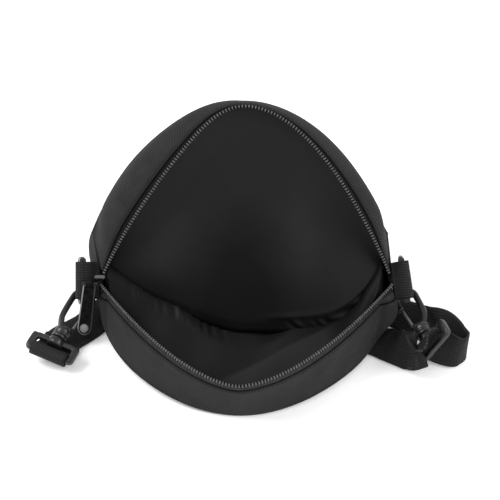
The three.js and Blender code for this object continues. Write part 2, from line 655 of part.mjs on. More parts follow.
const hooks = {};
for (const { side, tabReach, corner, out, across, bow, loopBar, loopAcross, back } of HARDWARE) {
  const acrossAxis = vector(...across).normalize();
  const outAxis = vector(...out);
  outAxis.addScaledVector(acrossAxis, -outAxis.dot(acrossAxis)).normalize();
  const barCentre = vector(...corner);
  const tab = basisGroup(barCentre, outAxis, acrossAxis.clone().cross(outAxis), acrossAxis);
  addPiece(`${side}_tab`, tabGeometry(tabReach), WEBBING_CLOTH, tab);

  const bowAxis = vector(...bow);
  bowAxis.addScaledVector(acrossAxis, -bowAxis.dot(acrossAxis)).normalize();
  const ring = basisGroup(barCentre, bowAxis, acrossAxis.clone().cross(bowAxis), acrossAxis);
  addPiece(`${side}_ring`, ringGeometry(), PLASTIC, ring);

  // The hook hangs from the ring's lower leg, and its loop lies where the strap leaves it
  const wire = barCentre.clone().addScaledVector(bowAxis, RING_POINT);
  wire.addScaledVector(acrossAxis, -RING_LENGTH / 2);
  const axis = wire.clone().sub(vector(...loopBar)).normalize();
  const loopCentre = wire.clone().addScaledVector(axis, -HOOK_LENGTH);
  const face = vector(...TO_VIEWER);
  face.addScaledVector(axis, -face.dot(axis)).normalize();
  const lateral = axis.clone().cross(face).multiplyScalar(back);
  const hook = basisGroup(loopCentre, lateral, axis, lateral.clone().cross(axis));
  addPiece(`${side}_hook`, hookGeometry(), PLASTIC, hook);
  const gate = new THREE.Group();
  gate.position.set(-GATE_OFFSET, GATE_FOOT, 0);
  gate.rotation.z = GATE_LEAN;
  hook.add(gate);
  addPiece(`${side}_gate`, gateGeometry(), PLASTIC, gate);

  const barAxis = vector(...loopAcross);
  barAxis.addScaledVector(axis, -barAxis.dot(axis)).normalize();
  const loop = basisGroup(loopCentre, barAxis, axis, barAxis.clone().cross(axis));
  addPiece(`${side}_loop`, loopGeometry(), PLASTIC, loop);
  hooks[side] = { loopCentre, barAxis, axis };
}

// The strap: one length of webbing, sewn round the left loop's bar, flat under the bag, standing on edge in
// a wide turn behind it, under the bag again, round a slack turn on the right, through the right loop and
// back under the bag, where its end is sewn down. Each row is a point of its middle line with the
// direction of its width.

function strapEnds() {
  const { loopCentre, barAxis } = hooks.left;
  const flat = vector(...STRAP_LEAVES);
  flat.addScaledVector(barAxis, -flat.dot(barAxis)).normalize();
  const above = barAxis.clone().cross(flat).normalize();
  if (above.z < 0) above.negate();
  const wrap = STRAP_WRAP.map(({ along, rise }) => ({
    point: loopCentre.clone().addScaledVector(flat, along).addScaledVector(above, rise),
    across: barAxis,
  }));
  const right = hooks.right;
  const slot = right.loopCentre.clone().addScaledVector(right.axis, SLOT_MIDDLE);
  const through = right.axis.clone().cross(right.barAxis);
  const across = right.barAxis.clone().negate();
  const inSlot = (past) => ({ point: slot.clone().addScaledVector(through, past), across });
  return { wrap, inSlot };
}

function strapStations() {
  const { wrap, inSlot } = strapEnds();
  const rows = STRAP_ROUTE.map(({ x, y, z, across, slotted }) => (
    slotted ? inSlot(slotted) : { point: vector(x, y, z), across: vector(...across) }
  ));
  return [...wrap, ...rows];
}

function webbingSolid(stations, stepsBetween) {
  const path = new THREE.CatmullRomCurve3(stations.map(({ point }) => point), false, 'centripetal');
  const widths = stations.map(({ across }) => across.clone().normalize());
  const sides = new THREE.CatmullRomCurve3(widths, false, 'centripetal');
  const steps = (stations.length - 1) * stepsBetween;
  return sweptSolid(evenly(0, 1, steps).map((share) => {
    const centre = path.getPoint(share);
    const along = path.getTangent(share);
    const across = sides.getPoint(share);
    across.addScaledVector(along, -across.dot(along)).normalize().multiplyScalar(WEBBING_WIDTH / 2);
    const through = along.clone().cross(across).normalize().multiplyScalar(WEBBING / 2);
    const section = [[1, 1], [1, -1], [-1, -1], [-1, 1]].map(([a, b]) => (
      centre.clone().addScaledVector(across, a).addScaledVector(through, b)
    ));
    const sunk = Math.min(...section.map(({ z }) => z));
    if (sunk < 0) for (const point of section) point.z -= sunk;
    return section;
  }));
}

addPiece('strap', webbingSolid(strapStations(), STRAP_STEPS), WEBBING_CLOTH);

export default bag;
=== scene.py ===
"""Round shoulder bag lying open on its back: the dressed model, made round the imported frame."""
import math

import bmesh
import bpy
import numpy as np
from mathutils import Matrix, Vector


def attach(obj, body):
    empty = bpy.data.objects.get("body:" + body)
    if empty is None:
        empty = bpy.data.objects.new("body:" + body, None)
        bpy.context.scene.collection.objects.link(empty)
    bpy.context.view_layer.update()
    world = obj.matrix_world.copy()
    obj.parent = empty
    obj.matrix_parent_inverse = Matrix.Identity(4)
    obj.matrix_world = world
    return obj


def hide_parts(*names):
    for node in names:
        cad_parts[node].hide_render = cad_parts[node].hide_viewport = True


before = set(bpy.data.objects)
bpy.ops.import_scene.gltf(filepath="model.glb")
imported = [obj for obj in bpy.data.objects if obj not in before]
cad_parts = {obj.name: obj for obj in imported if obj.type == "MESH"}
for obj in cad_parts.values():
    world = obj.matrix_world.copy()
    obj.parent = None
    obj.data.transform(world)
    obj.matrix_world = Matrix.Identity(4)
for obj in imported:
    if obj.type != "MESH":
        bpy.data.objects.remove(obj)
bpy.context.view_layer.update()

# Camera, light and table
# The bag is seen from the front, 42 degrees above a white table top.
# The light is soft: it comes from all round and from two lamps above, slightly more from the left.
CAMERA_DISTANCE = 0.9
scene = bpy.context.scene
aim = np.array([2.3, 14.7, 51.3]) / 1000
elevation = math.radians(42)
to_camera = np.array([0, -math.cos(elevation), math.sin(elevation)])
camera_data = bpy.data.cameras.new("camera")
camera_data.lens = 97
camera_data.sensor_width = 36
camera = bpy.data.objects.new("camera", camera_data)
camera.location = aim + CAMERA_DISTANCE * to_camera
camera.rotation_euler = (math.pi / 2 - elevation, 0, 0)
scene.collection.objects.link(camera)
scene.camera = camera
scene.view_settings.view_transform = "Standard"

studio = bpy.data.worlds.new("studio")
studio.use_nodes = True
background = studio.node_tree.nodes["Background"]
background.inputs["Color"].default_value = (1, 1, 1, 1)
background.inputs["Strength"].default_value = 0.8
scene.world = studio


def softbox(name, place, size, watts):
    """A square area light at its place, turned to face the point that the camera looks at."""
    data = bpy.data.lights.new(name, "AREA")
    data.shape = "SQUARE"
    data.size = size
    data.energy = watts
    lamp = bpy.data.objects.new(name, data)
    lamp.location = place
    lamp.rotation_euler = (Vector(aim) - Vector(place)).to_track_quat("-Z", "Y").to_euler()
    scene.collection.objects.link(lamp)


softbox("key_light", (-0.8, 0.05, 0.9), 0.6, 10.4)
softbox("fill_light", (1.0, -0.25, 0.7), 0.9, 9.5)


def spaced(sockets):
    """Values by the name of a socket, with spaces for the underscores of a keyword."""
    return {name.replace("_", " "): value for name, value in sockets.items()}


def new_material(name, roughness, **fixed):
    """A material with its node tree and shader; the roughness and other fixed sockets are set on it."""
    material = bpy.data.materials.new(name)
    material.use_nodes = True
    shader = material.node_tree.nodes["Principled BSDF"]
    shader.inputs["Roughness"].default_value = roughness
    for socket, value in spaced(fixed).items():
        shader.inputs[socket].default_value = value
    return material, material.node_tree, shader


def add_node(tree, kind, inputs, **settings):
    """A node with its settings; an input is linked where it is given a socket, and set otherwise."""
    node = tree.nodes.new(kind)
    for setting, value in settings.items():
        setattr(node, setting, value)
    for key, value in inputs.items():
        if isinstance(value, bpy.types.NodeSocket):
            tree.links.new(value, node.inputs[key])
        else:
            node.inputs[key].default_value = value
    return node


def grey(value):
    """A neutral colour from one linear value."""
    return (value, value, value, 1)


def colour_by(tree, shader, factor, dark, light, low=0.0, high=1.0):
    """Colours a shader by a ramp from a dark to a light grey between two positions of a factor."""
    ramp = add_node(tree, "ShaderNodeValToRGB", {"Fac": factor})
    ramp.color_ramp.elements[0].color = grey(dark)
    ramp.color_ramp.elements[0].position = low
    ramp.color_ramp.elements[1].color = grey(light)
    ramp.color_ramp.elements[1].position = high
    tree.links.new(ramp.outputs["Color"], shader.inputs["Base Color"])


def object_place(tree):
    """The place on a piece in its own frame, in metres."""
    return add_node(tree, "ShaderNodeTexCoord", {}).outputs["Object"]


def noise(tree, place, scale, **sockets):
    """A cloudy value from nought to one, finer with a larger scale."""
    inputs = {"Vector": place, "Scale": scale, **spaced(sockets)}
    return add_node(tree, "ShaderNodeTexNoise", inputs).outputs["Fac"]


TABLE_HALF = 3
TABLE_TOP = -4e-4
table_white, tree, shader = new_material("table_white", 0.9, Emission_Color=grey(1), Emission_Strength=0.16)
colour_by(tree, shader, noise(tree, object_place(tree), 40.0), 0.92, 0.94)
table_mesh = bpy.data.meshes.new("table")
corners = [(x * TABLE_HALF, y * TABLE_HALF, TABLE_TOP) for x, y in ((-1, -1), (1, -1), (1, 1), (-1, 1))]
table_mesh.from_pydata(corners, [], [(0, 1, 2, 3)])
table_mesh.materials.append(table_white)
table = bpy.data.objects.new("table", table_mesh)
scene.collection.objects.link(table)

# Shoulder strap
# One length of black webbing, woven with ribs along it, sewn round the bar of the left hook's loop, laid
# under the bag, turned on edge behind it and led back through the right hook's loop.
WEBBING_WIDTH = 25
WEBBING_THICKNESS = 1.5
TABLE_GAP = 0.05


def unit(vectors):
    """Vectors along the last axis, brought to length one."""
    vectors = np.asarray(vectors, float)
    return vectors / np.linalg.norm(vectors, axis=-1, keepdims=True)


def square_to(vectors, axis):
    """The part of each vector that is square to a unit axis, brought to length one."""
    vectors = np.asarray(vectors, float)
    return unit(vectors - np.sum(vectors * axis, -1, keepdims=True) * axis)


def smooth_path(points, steps):
    """A curve through all points: a cubic for each span, with knots set by the root of the chord."""
    points = np.asarray(points, float)
    ends = np.concatenate([[2 * points[0] - points[1]], points, [2 * points[-1] - points[-2]]])
    knots = np.sqrt(np.linalg.norm(np.diff(ends, axis=0), axis=1))[:, None]
    here = np.where(knots[1:-1] < 1e-4, 1, knots[1:-1])
    before = np.where(knots[:-2] < 1e-4, here, knots[:-2])
    after = np.where(knots[2:] < 1e-4, here, knots[2:])
    a, b, c, d = ends[:-3], ends[1:-2], ends[2:-1], ends[3:]
    leave = ((b - a) / before - (c - a) / (before + here) + (c - b) / here) * here
    reach = ((c - b) / here - (d - b) / (here + after) + (d - c) / after) * here
    t = np.linspace(0, 1, steps, endpoint=False)[None, :, None]
    cubic = (
        b[:, None] * (2 * t**3 - 3 * t**2 + 1) + leave[:, None] * (t**3 - 2 * t**2 + t)
        + c[:, None] * (3 * t**2 - 2 * t**3) + reach[:, None] * (t**3 - t**2)
    )
    return np.concatenate([cubic.reshape(-1, 3), points[-1:]])


def run_length(path):
    """Length along a path from its first point to each of its points."""
    return np.concatenate([[0], np.cumsum(np.linalg.norm(np.diff(path, axis=0), axis=1))])


def grids_piece(name, grids, finish, lengths=None, facing=1, merge=False, solid=False, tone=None):
    """One mesh of four-sided faces through one or more grids of points in millimetres.

    A facing of -1 turns the faces round, lengths give a UV map in millimetres, and tone a shade for each
    point. Merging closes seams and poles where points coincide, and a solid piece then has its faces
    turned outwards.
    """
    corners, quads, first = [], [], 0
    for points in grids:
        rows, columns = points.shape[:2]
        order = np.arange(rows * columns).reshape(rows, columns) + first
        quad = np.stack([order[:-1, :-1], order[1:, :-1], order[1:, 1:], order[:-1, 1:]], -1)
        quads.append(quad.reshape(-1, 4))
        corners.append(points.reshape(-1, 3) / 1000)
        first += rows * columns
    quads = np.concatenate(quads)[:, ::facing]
    mesh = bpy.data.meshes.new(name)
    mesh.from_pydata(np.concatenate(corners).tolist(), [], quads.tolist())
    if lengths is not None:
        layer = mesh.uv_layers.new(name="cloth")
        layer.data.foreach_set("uv", lengths.reshape(-1, 2)[quads.ravel()].ravel().astype(np.float32))
    if tone is not None:
        shade = mesh.attributes.new("tone", "FLOAT", "POINT")
        shade.data.foreach_set("value", tone.ravel().astype(np.float32))
    if merge or solid:
        shell = bmesh.new()
        shell.from_mesh(mesh)
        bmesh.ops.remove_doubles(shell, verts=shell.verts, dist=1e-7)
        if solid:
            bmesh.ops.recalc_face_normals(shell, faces=shell.faces)
        shell.to_mesh(mesh)
        shell.free()
    mesh.polygons.foreach_set("use_smooth", np.ones(len(mesh.polygons), bool))
    mesh.materials.append(finish)
    piece = bpy.data.objects.new(name, mesh)
    scene.collection.objects.link(piece)
    return piece


def sheet_piece(name, points, finish, lengths, thickness, facing=1, offset=-1.0, **more):
    """A sheet through one grid of points, with its thickness in millimetres behind its faces.

    With an offset of nought the thickness lies on both sides of them.
    """
    piece = grids_piece(name, [points], finish, lengths, facing, **more)
    wall = piece.modifiers.new("thickness", "SOLIDIFY")
    wall.thickness = thickness / 1000
    wall.offset = offset
    return piece


def hang(piece, node, body="bag"):
    """Hangs a piece on its body in place of a node of the frame, which is hidden."""
    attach(piece, body)
    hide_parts(node)


def cloth_place(tree):
    """The place on a piece of cloth laid flat, in millimetres."""
    return add_node(tree, "ShaderNodeUVMap", {}, uv_map="cloth").outputs["UV"]


def wave(tree, place, scale, direction, **sockets):
    """Even bands along one direction, as a value from nought to one."""
    inputs = {"Vector": place, "Scale": scale, **spaced(sockets)}
    return add_node(tree, "ShaderNodeTexWave", inputs, bands_direction=direction).outputs["Fac"]


def times(tree, value, factor, added=0.0):
    """A value times a factor, with a third value added."""
    inputs = {0: value, 1: factor, 2: added}
    return add_node(tree, "ShaderNodeMath", inputs, operation="MULTIPLY_ADD").outputs["Value"]


def emboss(tree, shader, height, strength, distance):
    """Bump on a shader from a height, over a distance in metres."""
    bump = add_node(tree, "ShaderNodeBump", {"Height": height, "Strength": strength, "Distance": distance})
    tree.links.new(bump.outputs["Normal"], shader.inputs["Normal"])


# Scale of a wave texture whose bands are one unit apart, and the weft's pitch in millimetres
BAND_SCALE = 0.314
WEFT_PITCH = 1.3


def webbing_finish(name, dark, light, rib_pitch, sewn=0):
    """Woven webbing: ribs along it crossed by fine weft threads, with a slow change of tone.

    Over the sewn length at its ends the tone falls to a tenth: painted shade, where the tab goes in under the
    bag.
    """
    material, tree, shader = new_material(name, 0.75, Specular_IOR_Level=0.2)
    cloth = cloth_place(tree)
    ribs = wave(tree, cloth, BAND_SCALE / rib_pitch, "Y")
    weave = times(tree, ribs, wave(tree, cloth, BAND_SCALE / WEFT_PITCH, "X"))
    tone = times(tree, weave, noise(tree, cloth, 0.35, Detail=4.0))
    if sewn:
        # Painted shade towards the ends of the webbing, where it goes in under the bag.
        along = add_node(tree, "ShaderNodeSeparateXYZ", {"Vector": cloth}).outputs["X"]
        inputs = {"Value": along, "From Min": 0.35 * sewn, "From Max": sewn, "To Min": 0.1}
        tone = times(tree, tone, add_node(tree, "ShaderNodeMapRange", inputs).outputs["Result"])
    colour_by(tree, shader, tone, dark, light, 0.05, 0.5)
    emboss(tree, shader, weave, 0.7, 4e-4)
    return material


STRAP_WEBBING = webbing_finish("strap_webbing", 0.008, 0.026, 1.9)
HOOK_PARTS = {
    "left": {
        "corner": (-110, 4, 33.5), "out": (-1, 0, 0), "across": (0, 0.669, 0.743),
        "bow": (-0.2, 0.73, -0.655), "loop_bar": (-131, -44, 9.6), "loop_across": (0.85, -0.45, -0.15),
        "back": -1, "inner": 12,
    },
    "right": {
        "corner": (105.5, 3, 35), "out": (1, 0.1, -0.2), "across": (-0.15, 0.64, 0.75),
        "bow": (0.1, 0.74, -0.66), "loop_bar": (124.5, -52, 17), "loop_across": (0.55, 0.1, 0.82),
        "back": 1, "inner": 8.5,
    },
}
RING_LENGTH = 30.5
RING_POINT = 9
HOOK_LENGTH = 46


def hook_frames(part):
    """Where the ring, hook and loop of one side lie: the axes that follow from the tab, ring and strap."""
    across = unit(part["across"])
    corner = np.array(part["corner"], float)
    out = square_to(part["out"], across)
    bow = square_to(part["bow"], across)
    wire = corner + bow * RING_POINT - across * RING_LENGTH / 2
    axis = unit(wire - np.array(part["loop_bar"]))
    face = square_to(to_camera, axis)
    lateral = np.cross(axis, face) * part["back"]
    bar = square_to(part["loop_across"], axis)
    centre = wire - axis * HOOK_LENGTH
    return {
        "tab": (corner, np.array([out, np.cross(across, out), across])),
        "ring": (corner, np.array([bow, np.cross(across, bow), across])),
        "hook": (centre, np.array([lateral, axis, np.cross(lateral, axis)])),
        "loop": (centre, np.array([bar, axis, np.cross(bar, axis)])),
    }


frames = {side: hook_frames(part) for side, part in HOOK_PARTS.items()}
# The strap's end round the left loop's bar: along the strap and above it, from the bar's middle
WRAP_FLAT = (0.83, 0.56, -0.08)
WRAP_ROWS = np.array([
    (20, -5), (13, -4.4), (8.5, -3.3), (5.4, -0.6), (3.6, 2), (1, 3.4), (-1.8, 3), (-3.4, 0.9),
    (-3.1, -1.8), (-1, -3.8), (5, -4.9), (11, -6.3), (20, -7.1),
])
# The rest of the route: a place, and the direction across the strap there
ROUTE_BEFORE_SLOT = np.array([
    (-108, -6.4, 0.9, 0.56, -0.83, 0), (-94, 11.6, 0.9, 0.7, -0.7, 0), (-74, 38, 0.9, 0.9, -0.45, 0),
    (-60, 72, 0.9, 0.96, -0.25, 0), (-52, 108, 0.9, 0.97, -0.2, 0), (-46, 130, 7, 0.75, -0.2, 0.63),
    (-38, 150, 12.8, 0.1, 0, 1), (-18, 168, 12.8, 0, 0, 1), (8, 170, 12.8, 0, 0, 1),
    (32, 155, 12.8, -0.1, 0, 1), (44, 132, 7, -0.75, -0.25, 0.63), (52, 108, 0.9, -0.97, -0.2, 0),
    (62, 72, 0.9, -0.96, -0.25, 0), (74, 38, 0.9, -0.9, -0.45, 0), (92, 14, 0.9, -0.65, -0.75, 0),
    (106, 2, 3.4, -0.6, -0.75, -0.2), (119, -9, 6.5, -0.55, -0.7, -0.45),
    (132, -20, 11.8, -0.3, -0.35, -0.85), (142, -30, 13.2, 0, 0, -1), (145, -37, 13.2, 0, 0, -1),
    (140, -43, 13.2, -0.2, 0, -1),
])
SLOT_HEIGHT = 5
SLOT_RUN = np.array([[5], [-7]])
ROUTE_AFTER_SLOT = np.array([
    (111, -46, 17.5, -0.4, -0.2, -0.88), (107, -39, 10.5, -0.15, -0.6, -0.7),
    (100, -32, 3.4, 0.1, -0.95, -0.18), (92, -25, 1.5, 0.3, -0.95, -0.04), (84, -20, 0.9, 0.3, -0.95, 0),
    (68, -14, 0.9, 0.3, -0.95, 0),
])


def strap_surface(columns):
    """The strap's middle sheet: straight across its width at each point of its smooth path."""
    centre, (bar, _, _) = frames["left"]["loop"]
    flat = square_to(WRAP_FLAT, bar)
    above = np.cross(bar, flat)
    above = above * np.sign(above[2])
    wrap = centre + WRAP_ROWS[:, :1] * flat + WRAP_ROWS[:, 1:] * above
    slot_centre, (slot_bar, slot_axis, _) = frames["right"]["loop"]
    through = np.cross(slot_axis, slot_bar)
    slotted = slot_centre + SLOT_HEIGHT * slot_axis + SLOT_RUN * through
    path = np.concatenate([wrap, ROUTE_BEFORE_SLOT[:, :3], slotted, ROUTE_AFTER_SLOT[:, :3]])
    widths = unit(np.concatenate([
        np.tile(bar, (len(wrap), 1)), ROUTE_BEFORE_SLOT[:, 3:],
        np.tile(-slot_bar, (len(slotted), 1)), ROUTE_AFTER_SLOT[:, 3:],
    ]))
    middle = smooth_path(path, 8)
    along = unit(np.gradient(middle, axis=0))
    across = square_to(smooth_path(widths, 8), along)
    share = np.linspace(-0.5, 0.5, columns)
    points = middle[:, None] + across[:, None] * share[None, :, None] * WEBBING_WIDTH
    through = np.cross(along, across)
    floor = WEBBING_THICKNESS / 2 * np.abs(through[:, 2]) + TABLE_GAP
    points[..., 2] += np.maximum(0, floor - points[..., 2].min(axis=1))[:, None]
    lengths = np.stack(np.broadcast_arrays(run_length(middle)[:, None], share * WEBBING_WIDTH), -1)
    return points, lengths


strap_points, strap_lengths = strap_surface(11)
strap = sheet_piece(
    "strap_webbing", strap_points, STRAP_WEBBING, strap_lengths, WEBBING_THICKNESS, offset=0.0
)
hang(strap, "strap")

# Back panel
# A round piece of grey twill, cut 200 mm across, that lies on the table. It is flat in the middle and
# lifted a little where the strap passes under it.
PANEL_RADIUS = 100
PANEL_CENTRE = (-1.5, 12)
FABRIC = 1.4
SEAM_LOW = 0.4
STRAP_LIFT = 4.2


def ease(low, high, value):
    """Zero below the low value, one above the high one, and a smooth step between."""
    t = np.clip((value - low) / (high - low), 0, 1)
    return t * t * (3 - 2 * t)


def back_seam_lift(turn):
    """Height of the back panel's seam: near the table in front, raised over the strap from 45 degrees on."""
    return SEAM_LOW + STRAP_LIFT * ease(0, math.radians(45), np.abs(turn))


def back_squeeze(turn):
    """How far the near half of the back panel's seam is pushed in from its circle, sideways and back."""
    near = np.maximum(np.cos(turn), 0)
    aside = -2 * np.where(turn < 0, 4.2, 6.2) * np.sin(turn) * near - 2 * near ** 4
    return np.stack([aside, 1.4 * near ** 4, np.zeros_like(near)], -1)


def back_seam(angle):
    """The back panel's seam, by the angle from its nearest point: a circle, pushed in on its near half."""
    turn = (angle + np.pi) % (2 * np.pi) - np.pi
    circle = np.stack([
        PANEL_CENTRE[0] + PANEL_RADIUS * np.sin(angle), PANEL_CENTRE[1] - PANEL_RADIUS * np.cos(angle),
        back_seam_lift(turn),
    ], -1)
    return circle + back_squeeze(turn)


def round_cut(angles, rings, reach):
    """Flat places of a round panel on rings about its middle: sideways, and along from the near edge."""
    angle, share = np.meshgrid(np.linspace(0, 2 * np.pi, angles), np.linspace(0, reach, rings), indexing="ij")
    return PANEL_RADIUS * share * np.sin(angle), PANEL_RADIUS - PANEL_RADIUS * share * np.cos(angle)


def back_surface(x, s):
    """The back panel over the table: flat in the middle, rising to its seam's height by half its radius."""
    q = s - PANEL_RADIUS
    turn, reach = np.arctan2(x, -q), np.hypot(x, q) / PANEL_RADIUS
    height = back_seam_lift(turn) * ease(0.38, 0.52, reach)
    flat = np.stack([PANEL_CENTRE[0] + x, PANEL_CENTRE[1] + q, height], -1)
    return flat + back_squeeze(turn) * reach[..., None] ** 2


def panel_normals(surface, x, s):
    """Unit normals of a panel from small steps sideways and along."""
    sideways = surface(x + 0.4, s) - surface(x - 0.4, s)
    along = surface(x, s + 0.4) - surface(x, s - 0.4)
    return unit(np.cross(sideways, along))


def twill_finish(name, dark, light):
    """Twill: slanting ribs of yarn broken by finer cross threads, with slow changes of tone."""
    material, tree, shader = new_material(
        name, 0.85, Specular_IOR_Level=0.12, Sheen_Weight=0.03, Sheen_Roughness=0.5
    )
    cloth = cloth_place(tree)
    ribs = wave(tree, cloth, 0.42, "DIAGONAL", Distortion=0.25, Detail_Scale=0.8)
    yarn = wave(tree, cloth, 0.5, "X", Distortion=0.3)
    weave = times(tree, ribs, times(tree, yarn, 0.45, 0.55))
    cloud = noise(tree, cloth, 0.06, Detail=6.0, Roughness=0.65)
    colour_by(tree, shader, times(tree, cloud, 0.5, times(tree, weave, 0.55)), dark, light, 0.1, 0.85)
    emboss(tree, shader, weave, 0.6, 2.5e-4)
    return material


BAG_TWILL = twill_finish("bag_twill", 0.005, 0.036)
x, s = round_cut(129, 40, 1.0)
points = back_surface(x, s)
back_panel = sheet_piece("back_panel_cloth", points, BAG_TWILL, np.stack([x, s], -1), FABRIC, merge=True)
hang(back_panel, "back_panel")

# Bottom gusset
# A deep strip of the same twill round the bottom half of the bag, sewn to both panels. It bulges behind
# the bag, and its two ends are folded round the ends of the zip.
GUSSET_WIDTH = 70
CORNER_ANGLE = math.radians(83)
ZIP_HALF_SPAN = 98
ZIP_END_BACK = 1.4
ZIP_END_HEIGHT = 35
# Distance back and height of the front panel's seam, at its top, its sides and its bottom
LID_TOP = (62, 132)
LID_SIDE = (32, 52)
LID_BOTTOM = (55, 35)


def lid_half_width(angle):
    """Half the width of the front panel's seam: a circle's, drawn in a little above the middle."""
    drawn_in = np.where(np.cos(angle) > 0, 8 * np.sin(2 * angle) * np.sin(angle) ** 2, 0)
    return PANEL_RADIUS * np.sin(angle) - drawn_in


def lid_shift(c):
    """How far the lifted panel leans to the left, by the cosine of the seam's angle."""
    return (-2 - 2.5 * (1 - c * c)) * (1 + c)


def lid_seam(angle):
    """The front panel's seam by the angle from its raised top: a lifted upper and a low lower half."""
    c = np.cos(angle)
    reach = (np.hypot(c, 0.12) - 0.12) / (math.hypot(1, 0.12) - 0.12)
    end_y = np.where(c > 0, LID_TOP[0], LID_BOTTOM[0])
    end_z = np.where(c > 0, LID_TOP[1], LID_BOTTOM[1])
    return np.stack([
        lid_half_width(angle) + lid_shift(c), LID_SIDE[0] + (end_y - LID_SIDE[0]) * reach,
        LID_SIDE[1] + (end_z - LID_SIDE[1]) * np.abs(c) ** 1.3,
    ], -1)


def bowed_strip(edge_a, edge_b, width, taper, sense):
    """A strip between two edges, bowed outwards by the width that its straight chord leaves over.

    Width and taper are functions of the place along the strip, and the sense turns the bow outwards.
    """
    def surface(u, v):
        a, b = edge_a(u), edge_b(u)
        chord = b - a
        length = np.linalg.norm(chord, axis=-1)
        along = edge_a(u + 1e-4) - edge_a(u - 1e-4) + edge_b(u + 1e-4) - edge_b(u - 1e-4)
        out = unit(np.cross(along, chord)) * sense
        bow = np.sqrt(np.maximum(0, 0.375 * length * (width(u) - length))) * taper(u)
        return a + chord * v[..., None] + out * (bow * 4 * v * (1 - v))[..., None]
    return surface


def gusset_surface(u, v):
    """The bowed gusset strip, drawn to the zip's ends at its own two ends."""
    folded = BOWED_GUSSET(u, v)
    side = np.where(u < 0.5, 1, -1)[..., None]
    end = side * (ZIP_HALF_SPAN, 0, 0) + (0, ZIP_END_BACK, ZIP_END_HEIGHT)
    pull = end - BOWED_GUSSET(u, np.full_like(v, 0.5))
    weight = (1 - ease(0, 0.16, np.minimum(u, 1 - u))) * (1 - np.abs(2 * v - 1))
    return folded + pull * weight[..., None]


BOWED_GUSSET = bowed_strip(
    lambda u: back_seam(CORNER_ANGLE + 2 * u * (np.pi - CORNER_ANGLE)),
    lambda u: lid_seam(np.pi / 2 + np.pi * u),
    lambda u: GUSSET_WIDTH, lambda u: ease(0, 0.33, u) * ease(0, 0.16, 1 - u), 1,
)


def strip_grid(u_from, u_to, stations, v_from, v_to, heights):
    """Places on a strip: along it, and across it from its seam."""
    return np.meshgrid(np.linspace(u_from, u_to, stations), np.linspace(v_from, v_to, heights), indexing="ij")


def sheet_normals(points):
    """Unit normals of a grid of points from its two directions."""
    return unit(np.cross(np.gradient(points, axis=0), np.gradient(points, axis=1)))


def strip_lengths(points):
    """Cloth lengths of a strip: along its middle, and across at each place."""
    along = run_length(points[:, points.shape[1] // 2])
    across = np.cumsum(np.linalg.norm(np.diff(points, axis=1, prepend=points[:, :1]), axis=-1), axis=1)
    return np.stack(np.broadcast_arrays(along[:, None], across), -1)


u, v = strip_grid(0.002, 0.998, 180, 0, 1, 28)
points = gusset_surface(u, v)
slack = np.sin(u * 61 + 5 * v) * 0.5 + np.sin(u * 37 - 9 * v + 1) * 0.6
slack = slack * ease(0.1, 0.25, np.minimum(u, 1 - u)) * np.sin(np.pi * v)
points = points + sheet_normals(points) * slack[..., None]
gusset = sheet_piece("bottom_gusset_cloth", points, BAG_TWILL, strip_lengths(points), FABRIC)
hang(gusset, "bottom_gusset")

# Near strip
# A strip of twill round the top half of the bag, sewn to the back panel and, along its other edge,
# to the tape of the zip. It stands in front of the open mouth.
NEAR_TAPE = 8
NEAR_WIDTH = 33
NEAR_REACH = 95


def near_rim(t):
    """The near edge of the open zip, from its left end to its right one."""
    b = 1 - np.abs(t) ** np.where(t < 0, 1.54, 1.68)
    return np.stack([ZIP_HALF_SPAN * t - 5 * b, -NEAR_REACH * b, ZIP_END_HEIGHT + 2.6 * b], -1)


def near_taper(u):
    """One along the near strip, falling to nothing at its two ends."""
    return ease(0, np.where(u < 0, 0.19, 0.11), 1 - np.abs(u))


def swell(u):
    """Nothing at the middle and the two ends of a strip, and one halfway between."""
    return np.sin(np.pi * np.clip(np.abs(u), 0, 1))


def near_width(u):
    """Width of the near strip, held in on its two slopes, with spare cloth at its ends."""
    spare = 5.5 * ease(0.72, 0.92, u) + 1.5 * ease(0.72, 0.92, -u)
    return NEAR_WIDTH - 2.2 * swell(u) ** 2 + spare


near_surface = bowed_strip(
    lambda u: back_seam(CORNER_ANGLE * u),
    lambda u: near_rim(np.sin(CORNER_ANGLE * u) / math.sin(CORNER_ANGLE)),
    near_width, near_taper, 1,
)


def tape_level(surface, u, tape):
    """Where a tape of some width begins across a strip, from nought at its seam to one at its rim."""
    length = np.linalg.norm(surface(u, np.ones_like(u)) - surface(u, np.zeros_like(u)), axis=-1)
    return 1 - tape / length


u, v = strip_grid(-0.985, 0.985, 200, 0, 1, 16)
points = near_surface(u, v * tape_level(near_surface, u, NEAR_TAPE))
near_strip = sheet_piece("near_strip_cloth", points, BAG_TWILL, strip_lengths(points), FABRIC)
hang(near_strip, "near_strip")

# Lid strip
# The matching strip of twill round the lifted front panel, sewn to it and to the other zip tape. It
# stands up behind the mouth and bulges on the left.
LID_TAPE = 3.6
LID_WIDTH = 35
LID_RIM_BACK = 36.7
LID_RIM_RISE = 118


def lid_rim(t):
    """The lifted edge of the open zip, from its left end over the top to its right one."""
    r = 1 - np.abs(t) ** 1.9
    drawn_in = np.where(t < 0, 6.5, 0) * swell(t) ** 1.5
    aside = ZIP_HALF_SPAN * t - r + drawn_in
    return np.stack([aside, LID_RIM_BACK * r, ZIP_END_HEIGHT + LID_RIM_RISE * r], -1)


def lid_strip_width(u):
    """Width of the lid's strip, with the spare cloth that bulges on the left."""
    return LID_WIDTH + np.where(u < 0, 7, -0.5) * swell(u) ** 1.2


